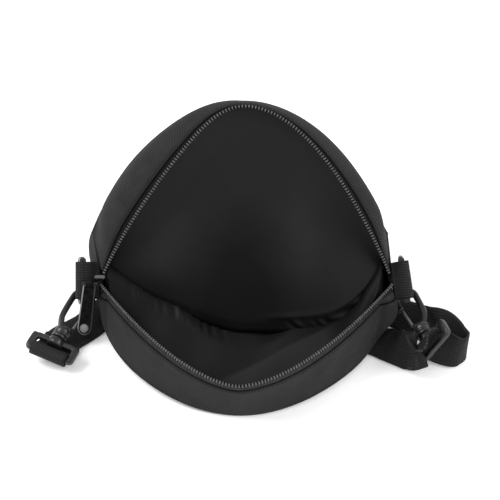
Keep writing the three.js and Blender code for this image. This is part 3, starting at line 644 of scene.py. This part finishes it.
lid_surface = bowed_strip(
    lambda u: lid_seam(np.pi / 2 * u),
    lambda u: lid_rim(u * (1.18 - 0.18 * u * u)),
    lid_strip_width, lambda u: ease(0, 0.25, 1 - np.abs(u)), -1,
)
u, v = strip_grid(-0.968, 0.968, 220, 0, 1, 16)
points = lid_surface(u, v * tape_level(lid_surface, u, LID_TAPE))
lid_strip = sheet_piece("lid_strip_cloth", points, BAG_TWILL, strip_lengths(points), FABRIC, -1)
hang(lid_strip, "lid_strip")

# Front panel
# The round front of the bag, the same cut as the back, lifted open like a lid. Its lower half is folded
# into the mouth along a crease and rises again to the gusset.
CREASE = (-24, 12)
CREASE_ROUNDING = 9
lower_run = math.hypot(CREASE[0] - LID_BOTTOM[0], CREASE[1] - LID_BOTTOM[1])
upper_run = math.hypot(CREASE[0] - LID_TOP[0], CREASE[1] - LID_TOP[1])
crease_at = 2 * PANEL_RADIUS * lower_run / (lower_run + upper_run)


def front_middle(s):
    """Middle line of the front panel: straight to the crease and on to the top, rounded at the crease."""
    def lower(s):
        return np.stack([LID_BOTTOM[k] + (CREASE[k] - LID_BOTTOM[k]) * s / crease_at for k in (0, 1)], -1)

    def upper(s):
        share = (s - crease_at) / (2 * PANEL_RADIUS - crease_at)
        return np.stack([CREASE[k] + (LID_TOP[k] - CREASE[k]) * share for k in (0, 1)], -1)

    t = np.clip((s - crease_at + CREASE_ROUNDING) / (2 * CREASE_ROUNDING), 0, 1)[..., None]
    start = lower(np.float64(crease_at - CREASE_ROUNDING))
    end = upper(np.float64(crease_at + CREASE_ROUNDING))
    rounded = start * (1 - t) ** 2 + np.array(CREASE) * 2 * t * (1 - t) + end * t ** 2
    straight = np.where((s < crease_at)[..., None], lower(s), upper(s))
    return np.where((np.abs(s - crease_at) < CREASE_ROUNDING)[..., None], rounded, straight)


def front_surface(x, s):
    """The front panel: each row across sags from its two seam points to the middle line."""
    along = np.clip(s, 0.02, 2 * PANEL_RADIUS - 0.02)
    angle = np.arccos((along - PANEL_RADIUS) / PANEL_RADIUS)
    share = x / np.maximum(PANEL_RADIUS * np.sin(angle), 1)
    share_in = np.minimum(np.abs(share), 1)
    upper = (1 - share_in ** 3) ** 2
    slope = 1 - 0.66 * (np.hypot(share_in, 0.1) - 0.1) - 0.404 * share_in ** 8
    lower = np.where(x < 0, np.maximum(slope, 0), (1 - share_in ** 8) ** 2)
    sag = lower + (upper - lower) * ease(78, 130, along)
    edge, middle = lid_seam(angle), front_middle(along)
    return np.stack([
        share * lid_half_width(angle) + lid_shift((along - PANEL_RADIUS) / PANEL_RADIUS),
        edge[..., 1] + (middle[..., 0] - edge[..., 1]) * sag,
        edge[..., 2] + (middle[..., 1] - edge[..., 2]) * sag,
    ], -1)


x, s = round_cut(161, 50, 1.0)
points = front_surface(x, s)
front_panel = sheet_piece("front_panel_cloth", points, BAG_TWILL, np.stack([x, s], -1), FABRIC, merge=True)
hang(front_panel, "front_panel")

# Lining
# Dark smooth nylon sewn inside every piece of twill. It hangs a little loose from it, gathers along the
# crease of the front panel, and lies in soft folds on the bottom of the mouth.
LINING = 1.0
LINING_DEPTH = 2.9
FRONT_SLACK = 1.2
BACK_SLACK = 1.1
PANEL_GAP = 3
STRIP_LINING_TONE = 0.4
MOUTH_MIDDLE = (-2.5, 0, 16)


def point_tone(tree):
    """The shade that a piece gives for each of its points."""
    return add_node(tree, "ShaderNodeAttribute", {}, attribute_name="tone").outputs["Fac"]


def lining_finish(name, dark, light):
    """Lining nylon: very fine plain weave with a soft sheen, in the tone of its points made cloudy."""
    material, tree, shader = new_material(name, 0.5, Specular_IOR_Level=0.12)
    cloth = cloth_place(tree)
    weave = times(tree, wave(tree, cloth, 0.6, "X"), wave(tree, cloth, 0.6, "Y"))
    cloud = noise(tree, cloth, 0.05, Detail=5.0, Roughness=0.6)
    colour_by(tree, shader, times(tree, cloud, 0.35, point_tone(tree)), dark, light, 0.1)
    emboss(tree, shader, weave, 0.25, 1e-4)
    return material


def bell(value, middle, spread):
    """A bell curve: one at its middle, and falling away over its spread."""
    return np.exp(-((value - middle) / spread) ** 2)


def uneven(x):
    """How strong the gathers are across the bag, changing from one to the next."""
    return 0.55 + 0.45 * np.sin(x / 4.3 + 1.4 * np.sin(x / 6.1))


def crease_folds(x, s):
    """Height of the front lining's folds over its panel.

    A roll runs along the crease and a second one over it on the right. The gathers are under the crease
    on the left and over it on the right, and broad slack waves lie above.
    """
    past = s - crease_at
    inside = ease(0, 22, PANEL_RADIUS - np.hypot(x, s - PANEL_RADIUS))
    left = ease(-88, -60, x) * ease(4, 26, -x)
    right = ease(8, 34, x) * ease(-90, -66, -x)
    rolls = 1.3 * bell(past, 1.0, 2.2) + right * bell(past, 9.0 + 0.03 * x, 1.7)
    under = 0.8 * left * np.sin(x * 0.9 + 1.2 * np.sin(x / 5)) * bell(past, -4.0, 3.0)
    over = 1.1 * right * np.sin(x * 0.8 + 0.5 * past + np.sin(x / 4)) * bell(past, 5.0, 2.6)
    waves = ease(8, 40, past) * (0.9 * np.sin(x / 15 + past / 40) + 0.4 * np.sin(x / 8.5 - past / 17 + 2))
    return inside * (FRONT_SLACK + rolls + uneven(x) * (under + over) + waves)


def drawn_to_zip(points, x, s):
    """Draws the outer part of the lid's lining from the panel's seam towards the zip tape.

    It rounds off the corner between them. The pull fades out past the zip's ends and never goes outwards.
    """
    angle = np.arctan2(x, s - PANEL_RADIUS)
    share = np.hypot(x, s - PANEL_RADIUS) / PANEL_RADIUS
    u = np.clip(angle / (np.pi / 2), -0.95, 0.95)
    tape = lid_surface(u, np.full_like(u, 0.76))
    tape = tape + unit(MOUTH_MIDDLE - tape) * 2.2
    pull = ease(0.55, 1.0, share) ** 1.5 * (1 - ease(1.85, 2.25, np.abs(angle)))
    shift = (tape - points) * pull[..., None]
    inwards = panel_normals(front_surface, x, s)
    return points + shift - inwards * np.minimum(np.sum(shift * inwards, -1, keepdims=True), 0)


def front_painted_light_and_shade(x, s):
    """Front lining's painted light and shade: lighter at the top, by its edge and in two lobes, darker up the
    middle.
    """
    from_edge = PANEL_RADIUS - np.hypot(x, s - PANEL_RADIUS)
    bands = bell(from_edge, 16, 13) * ease(95, 125, s) * np.where(x < 0, 0.22, 0.14)
    column = 0.42 * bell(x, 3, 26) * ease(-182, -118, -s)
    lobes = (0.32 * bell(x, -52, 18) + 0.16 * bell(x, 46, 16)) * ease(88, 112, s) * ease(-178, -150, -s)
    return 0.14 + 0.54 * ease(78, 172, s) + bands - column + lobes


BAG_LINING = lining_finish("bag_lining", 0.0015, 0.0145)
x, s = round_cut(361, 110, 0.99)
points = front_surface(x, s)
points = points + panel_normals(front_surface, x, s) * (LINING_DEPTH + crease_folds(x, s))[..., None]
# The front lining's tone is painted light and shade, darker towards the crease.
front_lining = sheet_piece(
    "front_lining_cloth", drawn_to_zip(points, x, s), BAG_LINING, np.stack([x, s], -1), LINING, -1,
    merge=True, tone=front_painted_light_and_shade(x, s),
)
hang(front_lining, "front_lining")


def crease_line(x):
    """Distance back and height of the front lining's crease at a place across the bag."""
    across = np.linspace(-95.5, 95.5, 191)
    along = np.full_like(across, crease_at)
    ridge = drawn_to_zip(front_surface(across, along), across, along)
    return np.interp(x, ridge[:, 0], ridge[:, 1]), np.interp(x, ridge[:, 0], ridge[:, 2])


SQUARE = 2
SQUARES = 170
SQUARES_FROM = -150


def lowest_heights(cloud):
    """Height of the lowest of some points over each square of the table and the squares round it."""
    low = np.full((SQUARES, SQUARES), 200.0)
    column, row = ((cloud[..., :2] - SQUARES_FROM) / SQUARE).astype(int).reshape(-1, 2).T
    np.minimum.at(low, (column, row), cloud[..., 2].ravel())
    shifts = [(i, j) for i in (-1, 0, 1) for j in (-1, 0, 1)]
    return np.minimum.reduce([np.roll(low, shift, (0, 1)) for shift in shifts])


def height_over(low, points):
    """The height of those squares at some places, shared out between the four nearest."""
    place = (points[..., :2] - SQUARES_FROM) / SQUARE - 0.5
    column, row = np.moveaxis(np.floor(place).astype(int), -1, 0)
    right, up = np.moveaxis(place % 1, -1, 0)
    near = low[column, row] * (1 - right) + low[column + 1, row] * right
    far = low[column, row + 1] * (1 - right) + low[column + 1, row + 1] * right
    return near * (1 - up) + far * up


def back_folds(points, x, s):
    """Height of the back lining's folds over its panel.

    It rises to the crease of the front lining, is banked up on the right and gathered in front of the
    crease on the left, and is slack all over.
    """
    inside = ease(1, 8, PANEL_RADIUS - np.hypot(x, s - PANEL_RADIUS))
    crease_y, crease_z = crease_line(points[..., 0])
    ahead = crease_y - points[..., 1]
    rise = np.where(ahead > 0, ease(46, 2, ahead), ease(-42, -14, ahead)) * np.maximum(crease_z - 6.5, 0)
    fold = 0.545 * (points[..., 0] + 4) - 0.838 * (points[..., 1] + 53)
    bank = 8 * ease(0, 30, fold) * ease(-8, 20, points[..., 0])
    left = ease(-90, -66, x) * ease(2, 24, -x)
    gathers = 1.1 * left * uneven(x) * np.sin(x * 0.95 + 1.2 * np.sin(x / 5)) * bell(ahead, 9, 5)
    slack = BACK_SLACK + 0.6 * np.sin(x / 11 + s / 30) + 0.5 * np.sin(x / 7 - s / 13 + 1)
    return (rise + bank + gathers + slack) * inside


def back_lining_painted_light(points):
    """Tone of the back lining: nearly black, a little lighter in the middle, with one patch of painted light.
    """
    across = points[..., 0]
    lit = 0.43 * (across + 14.4) - 0.903 * (points[..., 1] + 57.6)
    patch = ease(-1, 2.5, lit) * ease(-24, -4, across) * ease(-64, -46, -across)
    return 0.02 + 0.14 * ease(-70, -20, across) * ease(-70, -50, -across) + 0.78 * patch


under_front = lowest_heights(front_surface(*round_cut(361, 110, 1.0)))
x, s = round_cut(301, 110, 0.975)
points = back_surface(x, s)
base = points[..., 2] + LINING_DEPTH
raised = base + back_folds(points, x, s)
points[..., 2] = np.maximum(base, np.minimum(raised, height_over(under_front, points) - PANEL_GAP))
# The back lining's tone holds a patch of painted light beside its fold.
back_lining = sheet_piece(
    "back_lining_cloth", points, BAG_LINING, np.stack([x, s], -1), LINING, -1,
    merge=True, tone=back_lining_painted_light(points),
)
hang(back_lining, "back_lining")

for node, surface, extent, sense in (
    ("near_lining", near_surface, (-0.955, 0.955, 160, 0.02, 0.85, 10), -1),
    ("lid_lining", lid_surface, (-0.938, 0.938, 160, 0.02, 0.85, 10), 1),
    ("gusset_lining", gusset_surface, (0.022, 0.978, 160, 0.03, 0.97, 20), -1),
):
    u, v = strip_grid(*extent)
    points = surface(u, v)
    points = points + sheet_normals(points) * LINING_DEPTH * sense
    shade = np.full(u.shape, STRIP_LINING_TONE)
    lining = sheet_piece(
        node + "_cloth", points, BAG_LINING, strip_lengths(points), LINING, sense, tone=shade
    )
    hang(lining, node)

# Zip tapes and teeth
# Two woven tapes along the edges of the mouth, each with a row of nylon teeth along its free edge.
TOOTH_PITCH = 2.1
TAPE = 1.0
TAPE_TUCK = 0.6


def tape_finish(name):
    """Zip tape: a close slanting weave of fine thread, in the tone of its points."""
    material, tree, shader = new_material(name, 0.7, Specular_IOR_Level=0.15)
    cloth = cloth_place(tree)
    weave = wave(tree, cloth, 0.55, "DIAGONAL")
    tone = times(tree, times(tree, weave, noise(tree, cloth, 0.2)), point_tone(tree))
    colour_by(tree, shader, tone, 0.0012, 0.05, 0.0, 0.7)
    emboss(tree, shader, weave, 0.5, 2e-4)
    return material


def teeth_finish(name):
    """Nylon teeth: dark and glossy, with small changes of tone from tooth to tooth."""
    material, tree, shader = new_material(name, 0.3)
    colour_by(tree, shader, noise(tree, object_place(tree), 900.0), 0.04, 0.11, 0.3, 0.7)
    return material


def rounded_block(centre, half_sizes, squareness=0.35, around=33, over=17):
    """A block with rounded edges: a ball whose coordinates are raised to a power of one or less."""
    turn, rise = np.meshgrid(
        np.linspace(0, 2 * np.pi, around), np.linspace(-np.pi / 2, np.pi / 2, over), indexing="ij"
    )
    ball = np.stack([np.cos(rise) * np.cos(turn), np.cos(rise) * np.sin(turn), np.sin(rise)], -1)
    return np.sign(ball) * np.abs(ball) ** squareness * half_sizes + centre


def set_along(name, surface, end, level, span, pitch, shape, sense, finish):
    """Copies of a small shape at equal steps along a strip, turned with its run and its face.

    The level gives the place across the strip for each place along it. The span is the two steps from
    that level between which the direction across is taken.
    """
    fine = np.linspace(-end, end, 1200)
    run = run_length(surface(fine, level(fine)))
    count = int(run[-1] // pitch)
    u = np.interp((np.arange(count) + 0.5) * run[-1] / count, run, fine)
    v = level(u)
    along = unit(surface(u + 1e-3, v) - surface(u - 1e-3, v))
    across = square_to(surface(u, v + span[1]) - surface(u, v + span[0]), along)
    axes = np.stack([along, across, np.cross(along, across) * sense], 1)
    points = surface(u, v)[:, None, None] + np.einsum("abi,nij->nabj", shape, axes)
    return grids_piece(name, list(points), finish, solid=True)


ZIP_TAPE = tape_finish("zip_tape")
ZIP_TEETH = teeth_finish("zip_teeth")
TOOTH = rounded_block((0, -0.4, 0), (0.45, 1.2, 0.9), 0.7, 9, 5)
for side, surface, end, sense, width in (
    ("near", near_surface, 0.975, -1, NEAR_TAPE), ("lid", lid_surface, 0.958, 1, LID_TAPE),
):
    u, share = strip_grid(-end, end, 220, 0, 1, 12)
    edge = tape_level(surface, u, width + TAPE_TUCK)
    points = surface(u, edge + (0.965 - edge) * share)
    clear = ease(1.4, 2.4, share * width)
    points = points + sheet_normals(points) * ((0.5 + 0.8 * (1 - clear)) * sense)[..., None]
    # Painted shade on the tape: near black where it runs under the twill's edge, darker again beside the
    # teeth.
    shade = clear * (1 - 0.9 * ease(2.6, 1.6, (1 - share) * width))
    tape = sheet_piece(
        side + "_zip_tape", points, ZIP_TAPE, strip_lengths(points), TAPE, -sense, tone=shade
    )
    hang(tape, side + "_zip")
    teeth = set_along(
        side + "_zip_teeth", surface, end, np.ones_like, (-0.15, 0), TOOTH_PITCH, TOOTH, 1, ZIP_TEETH
    )
    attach(teeth, "bag")

# Stitches
# A row of grey thread along the zip edge of each strip of twill, which holds it to the tape.
STITCH_PITCH = 3.2
STITCH_INSET = 1.6


def thread_finish(name):
    """Spun thread: slanting plies of two near tones."""
    material, tree, shader = new_material(name, 0.7, Specular_IOR_Level=0.2)
    colour_by(tree, shader, wave(tree, object_place(tree), 700.0, "DIAGONAL"), 0.008, 0.03)
    return material


STRIP_THREAD = thread_finish("strip_thread")
STITCH = rounded_block((0, 0, 0.1), (1.15, 0.28, 0.28), 1, 9, 5)
for side, surface, end, sense, width in (
    ("near", near_surface, 0.97, 1, NEAR_TAPE), ("lid", lid_surface, 0.95, -1, LID_TAPE),
):
    stitches = set_along(
        side + "_strip_stitches", surface, end, lambda u: tape_level(surface, u, width + STITCH_INSET),
        (-0.02, 0.02), STITCH_PITCH, STITCH, sense, STRIP_THREAD,
    )
    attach(stitches, "bag")

# Slider
# A small black metal slider at the left end of the zip, with a pin on its side that carries the puller.
SLIDER_CENTRE = np.array([-98, -1.5, 39.5])
PULLER_PIVOT = np.array([-104, -5, 39])
PIN_END = -109
# Painted highlight on the slider's blocks in turn: most on the top bar, a little on the pin.
SLIDER_PAINTED_HIGHLIGHT = (0, 0, 0.4, 0.1)


def lacquer_finish(name, dark, metal_and_highlight):
    """Black lacquered metal, faintly mottled; the tone of its points lightens it to metal grey, at the rivet
    and as painted highlight.
    """
    material, tree, shader = new_material(name, 0.42, Specular_IOR_Level=0.04)
    cloud = noise(tree, object_place(tree), 260.0, Detail=5.0)
    colour_by(tree, shader, times(tree, cloud, 0.12, point_tone(tree)), dark, metal_and_highlight, 0.05)
    emboss(tree, shader, cloud, 0.12, 2e-4)
    return material


def bar_along(path, half_width, half_thickness, squareness, closed=False):
    """A bar with a rounded square section carried along a path in a level plane.

    The width lies in the plane and the thickness square to it. The ends are rounded, unless the path is
    closed.
    """
    around = np.linspace(0, 2 * np.pi, 21)
    sideways = np.sign(np.cos(around)) * np.abs(np.cos(around)) ** squareness
    upwards = np.sign(np.sin(around)) * np.abs(np.sin(around)) ** squareness
    if closed:
        run = np.roll(path[:-1], -1, axis=0) - np.roll(path[:-1], 1, axis=0)
        run = np.concatenate([run, run[:1]])
    else:
        run = np.gradient(path, axis=0)
    side = unit(run)[:, [1, 0, 2]] * (1, -1, 0)
    scale = np.ones(len(path))
    if not closed:
        last = len(path) - 1
        capped = np.r_[0, 0, 0:last + 1, last, last]
        path, side = path[capped], side[capped]
        scale = np.r_[0, 0.75, scale, 0.75, 0]
        inset = 0.25 * half_thickness
        path[2] = path[2] + unit(path[3] - path[2]) * inset
        path[-3] = path[-3] + unit(path[-4] - path[-3]) * inset
    return (
        path[:, None] + side[:, None] * (half_width * scale)[:, None, None] * sideways[None, :, None]
        + np.array([0, 0, 1]) * (half_thickness * scale)[:, None, None] * upwards[None, :, None]
    )


LACQUER = lacquer_finish("black_lacquer", 0.002, 0.2)
pin_path = np.linspace(SLIDER_CENTRE * (1, 0, 0), (PIN_END, 0, 0), 8) + PULLER_PIVOT * (0, 1, 1)
slider_grids = [
    rounded_block(SLIDER_CENTRE, (3, 2, 2.5)),
    rounded_block((SLIDER_CENTRE + PULLER_PIVOT) / 2 + (3, 0, 0), (1.0, 2.75, 1.0)),
    rounded_block(SLIDER_CENTRE + (0.6, -0.2, 2.4), (3.4, 1.3, 0.7)),
    bar_along(pin_path, 1.0, 1.0, 1.0),
]
highlight_and_bare_metal = [np.full(grid.shape[:2], shade).ravel() for grid, shade in zip(slider_grids, SLIDER_PAINTED_HIGHLIGHT)]
slider = grids_piece("zip_slider_body", slider_grids, LACQUER, solid=True, tone=np.concatenate(highlight_and_bare_metal))
hang(slider, "zip_slider")

# Puller
# A flat black metal tongue, bevelled all round, with a bright rivet near its round end. It hangs from
# the slider's pin by a rolled knuckle, and leans a little to one side.
PULLER_LENGTH = 36
PULLER_HALF = 4.7
PULLER_NECK = (4.2, -0.6)
PULLER_HOLE = np.array([0, 4.9 - PULLER_LENGTH])
PULLER_LEAN = math.radians(-5)
PULLER_END = np.array([-106, -21, 8])
RIVET_WEAR = 1.6
puller_up = unit(PULLER_PIVOT - PULLER_END)
puller_face = square_to(np.cross((1, 0, 0), puller_up), puller_up)
puller_axes = np.array([np.cross(puller_up, puller_face), puller_up, puller_face])


def puller_plate():
    """The tongue as a ring: a bevelled section carried from the hole's edge to the outline and back.

    Each row has its place in the flat, its height and its painted highlight, which fades across the tongue
    away from the key light.
    """
    half, (neck, top), foot = PULLER_HALF, PULLER_NECK, PULLER_HALF - PULLER_LENGTH
    end = np.linspace(0, -np.pi, 33)
    outline = np.concatenate([
        np.linspace((-neck, top), (neck, top), 12)[:-1], np.linspace((neck, top), (half, foot), 24)[:-1],
        np.stack([half * np.cos(end), foot + half * np.sin(end)], -1)[:-1],
        np.linspace((-half, foot), (-neck, top), 24),
    ])
    hole, out = PULLER_HOLE, unit(outline - PULLER_HOLE)
    run = unit(np.roll(outline[:-1], -1, axis=0) - np.roll(outline[:-1], 1, axis=0))
    brim = np.stack([run[:, 1], -run[:, 0]], -1)
    brim = np.concatenate([brim, brim[:1]]) * np.sign(np.sum(brim[40] * out[40]))
    rows = [
        (hole + out * 2.1, 0.3, 1), (hole + out * 2.9, 0.9, 1), (hole + out * 3.1, 0.9, 0),
        (outline - brim * 0.9, 0.9, 0), (outline - brim * 0.75, 0.85, 1), (outline, 0.3, 1),
        (outline, -0.3, 0.6), (outline - brim * 0.7, -0.9, 0), (hole + out * 2.9, -0.9, 0.5),
        (hole + out * 2.1, -0.3, 1), (hole + out * 2.1, 0.3, 1),
    ]
    plate = np.stack([np.concatenate([flat, np.full((len(flat), 1), z)], 1) for flat, z, _ in rows], 1)
    bevel_highlight = np.tile([float(shade) for _, _, shade in rows], (len(outline), 1))
    # Painted highlight on the bevels round the outline and the hole, strongest on the left, where the key
    # light falls.
    return plate, bevel_highlight * (0.2 + 0.8 * ease(-3, 1, -plate[..., 0]))


def turned(profile, steps):
    """A profile of radius and height, turned about the y axis."""
    turn = np.linspace(0, 2 * np.pi, steps)[:, None]
    radius, height = profile.T
    return np.stack([radius * np.cos(turn), height + 0 * turn, radius * np.sin(turn)], -1)


def rolled_knuckle(inner, outer, half):
    """A short tube along x with eased edges: a closed section turned about the pin."""
    section = np.array([
        (inner, -half), (outer - 0.3, -half), (outer, 0.3 - half), (outer, half - 0.3), (outer - 0.3, half),
        (inner, half), (inner, -half),
    ])
    return turned(section, 33)[..., [1, 0, 2]]


def flat_turn(angle):
    """Rows that turn points in the plane of x and y."""
    c, s = math.cos(angle), math.sin(angle)
    return np.array([(c, s, 0), (-s, c, 0), (0, 0, 1)])


plate, highlight_and_bare_metal = puller_plate()
knuckle = rolled_knuckle(1.4, 2.2, 2.5)
rivet = rounded_block((*PULLER_HOLE, 0), (2.5, 2.5, 1.15), 0.8)
leaning = flat_turn(PULLER_LEAN)
puller_grids = [PULLER_PIVOT + grid @ puller_axes for grid in (plate @ leaning, knuckle, rivet @ leaning)]
# The rivet is light metal grey; the tongue's rows and the slider's blocks carry painted highlight.
highlight_and_bare_metal = [highlight_and_bare_metal.ravel(), np.zeros(knuckle[..., 0].size), np.full(rivet[..., 0].size, RIVET_WEAR)]
puller = grids_piece("zip_puller_tongue", puller_grids, LACQUER, solid=True, tone=np.concatenate(highlight_and_bare_metal))
hang(puller, "zip_puller", "puller")

# Tabs
# A short length of webbing at each end of the zip, folded round the straight bar of a ring and sewn
# into the corner of the bag.
TAB_FOLD = 4.1
TAB_THICKNESS = 1.4
# Length at each end of a tab over which painted shade darkens it.
TAB_SHADED_END = 11
TAB_WEBBING = webbing_finish("tab_webbing", 0.006, 0.034, 1.7, TAB_SHADED_END)


def tab_line(inner):
    """The tab from the side: from its sewn end round the ring's bar and back."""
    bend = np.radians(np.linspace(112, -112, 25))
    sewn = np.array([(-inner, 0.85, 0), (-0.7 * inner, 1.2, 0), (-0.43 * inner, 2.8, 0)])
    roll = np.stack([TAB_FOLD * np.cos(bend), TAB_FOLD * np.sin(bend), bend * 0], -1)
    return smooth_path(np.concatenate([sewn, roll, sewn[::-1] * (1, -1, 1)]), 3)


tab_share = np.linspace(-WEBBING_WIDTH / 2, WEBBING_WIDTH / 2, 15)
for side in ("left", "right"):
    origin, axes = frames[side]["tab"]
    tab_path = tab_line(HOOK_PARTS[side]["inner"])
    sheet = tab_path[:, None] + tab_share[None, :, None] * np.array([0, 0, 1])
    run = run_length(tab_path)
    lengths = np.stack(np.broadcast_arrays(np.minimum(run, run[-1] - run)[:, None], tab_share), -1)
    tab = sheet_piece(
        side + "_tab_webbing", origin + sheet @ axes, TAB_WEBBING, lengths, TAB_THICKNESS, offset=0.0
    )
    hang(tab, side + "_tab")

# Rings
# A ring of black moulded plastic in each tab: round wire, bent to a rectangle with rounded corners, with
# a thicker bar on the side that the tab is folded round.
RING_WIRE = 1.7
RING_DEPTH = 20


def plastic_finish(name, dark, light):
    """Moulded plastic: satin, with faint flow marks and a fine grain."""
    material, tree, shader = new_material(name, 0.33, Specular_IOR_Level=0.45)
    place = object_place(tree)
    colour_by(tree, shader, noise(tree, place, 120.0, Detail=4.0), dark, light, 0.3, 0.7)
    emboss(tree, shader, noise(tree, place, 1500.0), 0.15, 1e-4)
    return material


def rounded_loop(corners, count, rounding):
    """A closed path through corners, sampled evenly and then averaged along itself to round them."""
    corners = np.concatenate([corners, corners[:1]])
    run = run_length(corners)
    at = np.linspace(0, run[-1], count, endpoint=False)
    path = np.stack([np.interp(at, run, corners[:, k]) for k in range(3)], -1)
    shifts = range(-rounding, rounding + 1)
    path = sum(np.roll(path, shift, axis=0) for shift in shifts) / len(shifts)
    return np.concatenate([path, path[:1]])


def placed(name, place, grids, finish):
    """A solid piece of grids that are given in the frame of a ring, a hook or a loop."""
    origin, axes = place
    return grids_piece(name, [origin + grid @ axes for grid in grids], finish, solid=True)


BLACK_PLASTIC = plastic_finish("black_plastic", 0.006, 0.014)
low, high = -RING_LENGTH / 2, RING_LENGTH / 2 - 1
ring_corners = np.array([(0, low, 0), (RING_DEPTH, low, 0), (RING_DEPTH, high, 0), (0, high, 0)])
ring_wire = bar_along(rounded_loop(ring_corners, 160, 3), RING_WIRE, RING_WIRE, 1.0, True)[..., [0, 2, 1]]
ring_bar = rounded_block((0, 0, -0.5), (3.0, 2.2, RING_LENGTH / 2), 0.15)
for side in ("left", "right"):
    ring = placed(side + "_ring_wire", frames[side]["ring"], [ring_wire, ring_bar], BLACK_PLASTIC)
    hang(ring, side + "_ring")

# Snap hooks
# Black plastic hooks: a barrel with a groove round it, a shoulder on top, and a claw that goes from the
# shoulder up one side and over the ring's wire to a short nose.
BARREL = np.array([
    (0, 17.4), (2.75, 17.4), (2.75, 12.6), (4.7, 12.6), (5.3, 12.9), (5.5, 13.5), (5.5, 15.0), (5.1, 15.3),
    (5.1, 16.1), (5.5, 16.4), (5.5, 19.6), (5.3, 20.4), (4.7, 21.0), (0, 21.0),
])
ARCH_CENTRE = 47.2
ARCH_MIDDLE = 6.8
HOOK_THICKNESS = 5.5
arch = np.linspace(0, np.pi, 25)
claw_path = smooth_path(np.concatenate([
    [(2.0, 20.4, 0), (3.9, 24.0, 0), (6.1, 29.5, 0), (6.7, 38, 0)],
    np.stack([ARCH_MIDDLE * np.cos(arch), ARCH_CENTRE + ARCH_MIDDLE * np.sin(arch), arch * 0], -1),
    [(-ARCH_MIDDLE, 43, 0), (-ARCH_MIDDLE, 39.2, 0)],
]), 3)
hook_grids = [
    turned(BARREL, 37),
    bar_along(claw_path, 2.0, HOOK_THICKNESS / 2, 0.55),
    rounded_block((0.2, 21.9, 0), (4.6, 1.5, HOOK_THICKNESS / 2)),
]
for side in ("left", "right"):
    hook = placed(side + "_hook_body", frames[side]["hook"], hook_grids, BLACK_PLASTIC)
    hang(hook, side + "_hook")

# Gates
# The sprung lever that closes each hook, from its pivot beside the barrel to the claw's nose.
GREY_PLASTIC = plastic_finish("grey_plastic", 0.06, 0.12)
GATE_OFFSET = 4.6
GATE_FOOT = 24
GATE_START = 0.35
GATE_REACH = 14.3
GATE_LEAN = 0.09
gate_path = np.linspace((0, GATE_START, 0), (0, GATE_START + GATE_REACH, 0), 12)
gate_lever = bar_along(gate_path, 0.8, 1.75, 0.55) @ flat_turn(GATE_LEAN) + (-GATE_OFFSET, GATE_FOOT, 0)
for side in ("left", "right"):
    gate = placed(side + "_gate_lever_arm", frames[side]["hook"], [gate_lever], GREY_PLASTIC)
    hang(gate, side + "_gate", side + "_gate_lever")

# Swivel loops
# The plastic frame under each hook that holds the strap: two broad arms and a bar, with a drum and a
# post in the middle that turn in the hook's barrel.
LOOP_CORNERS = np.array([
    (-15.25, 0, 0), (15.25, 0, 0), (15.25, 6, 0), (13.25, 10, 0), (-13.25, 10, 0), (-15.25, 6, 0),
])
LOOP_BAR = 2.0
POST = np.array([
    (0, 6.4), (4.6, 6.4), (5.4, 6.8), (5.7, 7.4), (5.7, 10.9), (5.4, 11.6), (4.6, 12.0), (2.4, 12.0),
    (2.4, 16.6), (2.0, 17), (0, 17),
])
loop_grids = [
    bar_along(rounded_loop(LOOP_CORNERS, 180, 2), LOOP_BAR, LOOP_BAR, 0.6, True),
    turned(POST, 37),
    *(rounded_block((x, 5.2, 0), (2.3, 6.4, 2.3), 0.45) for x in (-15.0, 15.0)),
]
for side in ("left", "right"):
    loop = placed(side + "_loop_frame", frames[side]["loop"], loop_grids, BLACK_PLASTIC)
    hang(loop, side + "_loop")
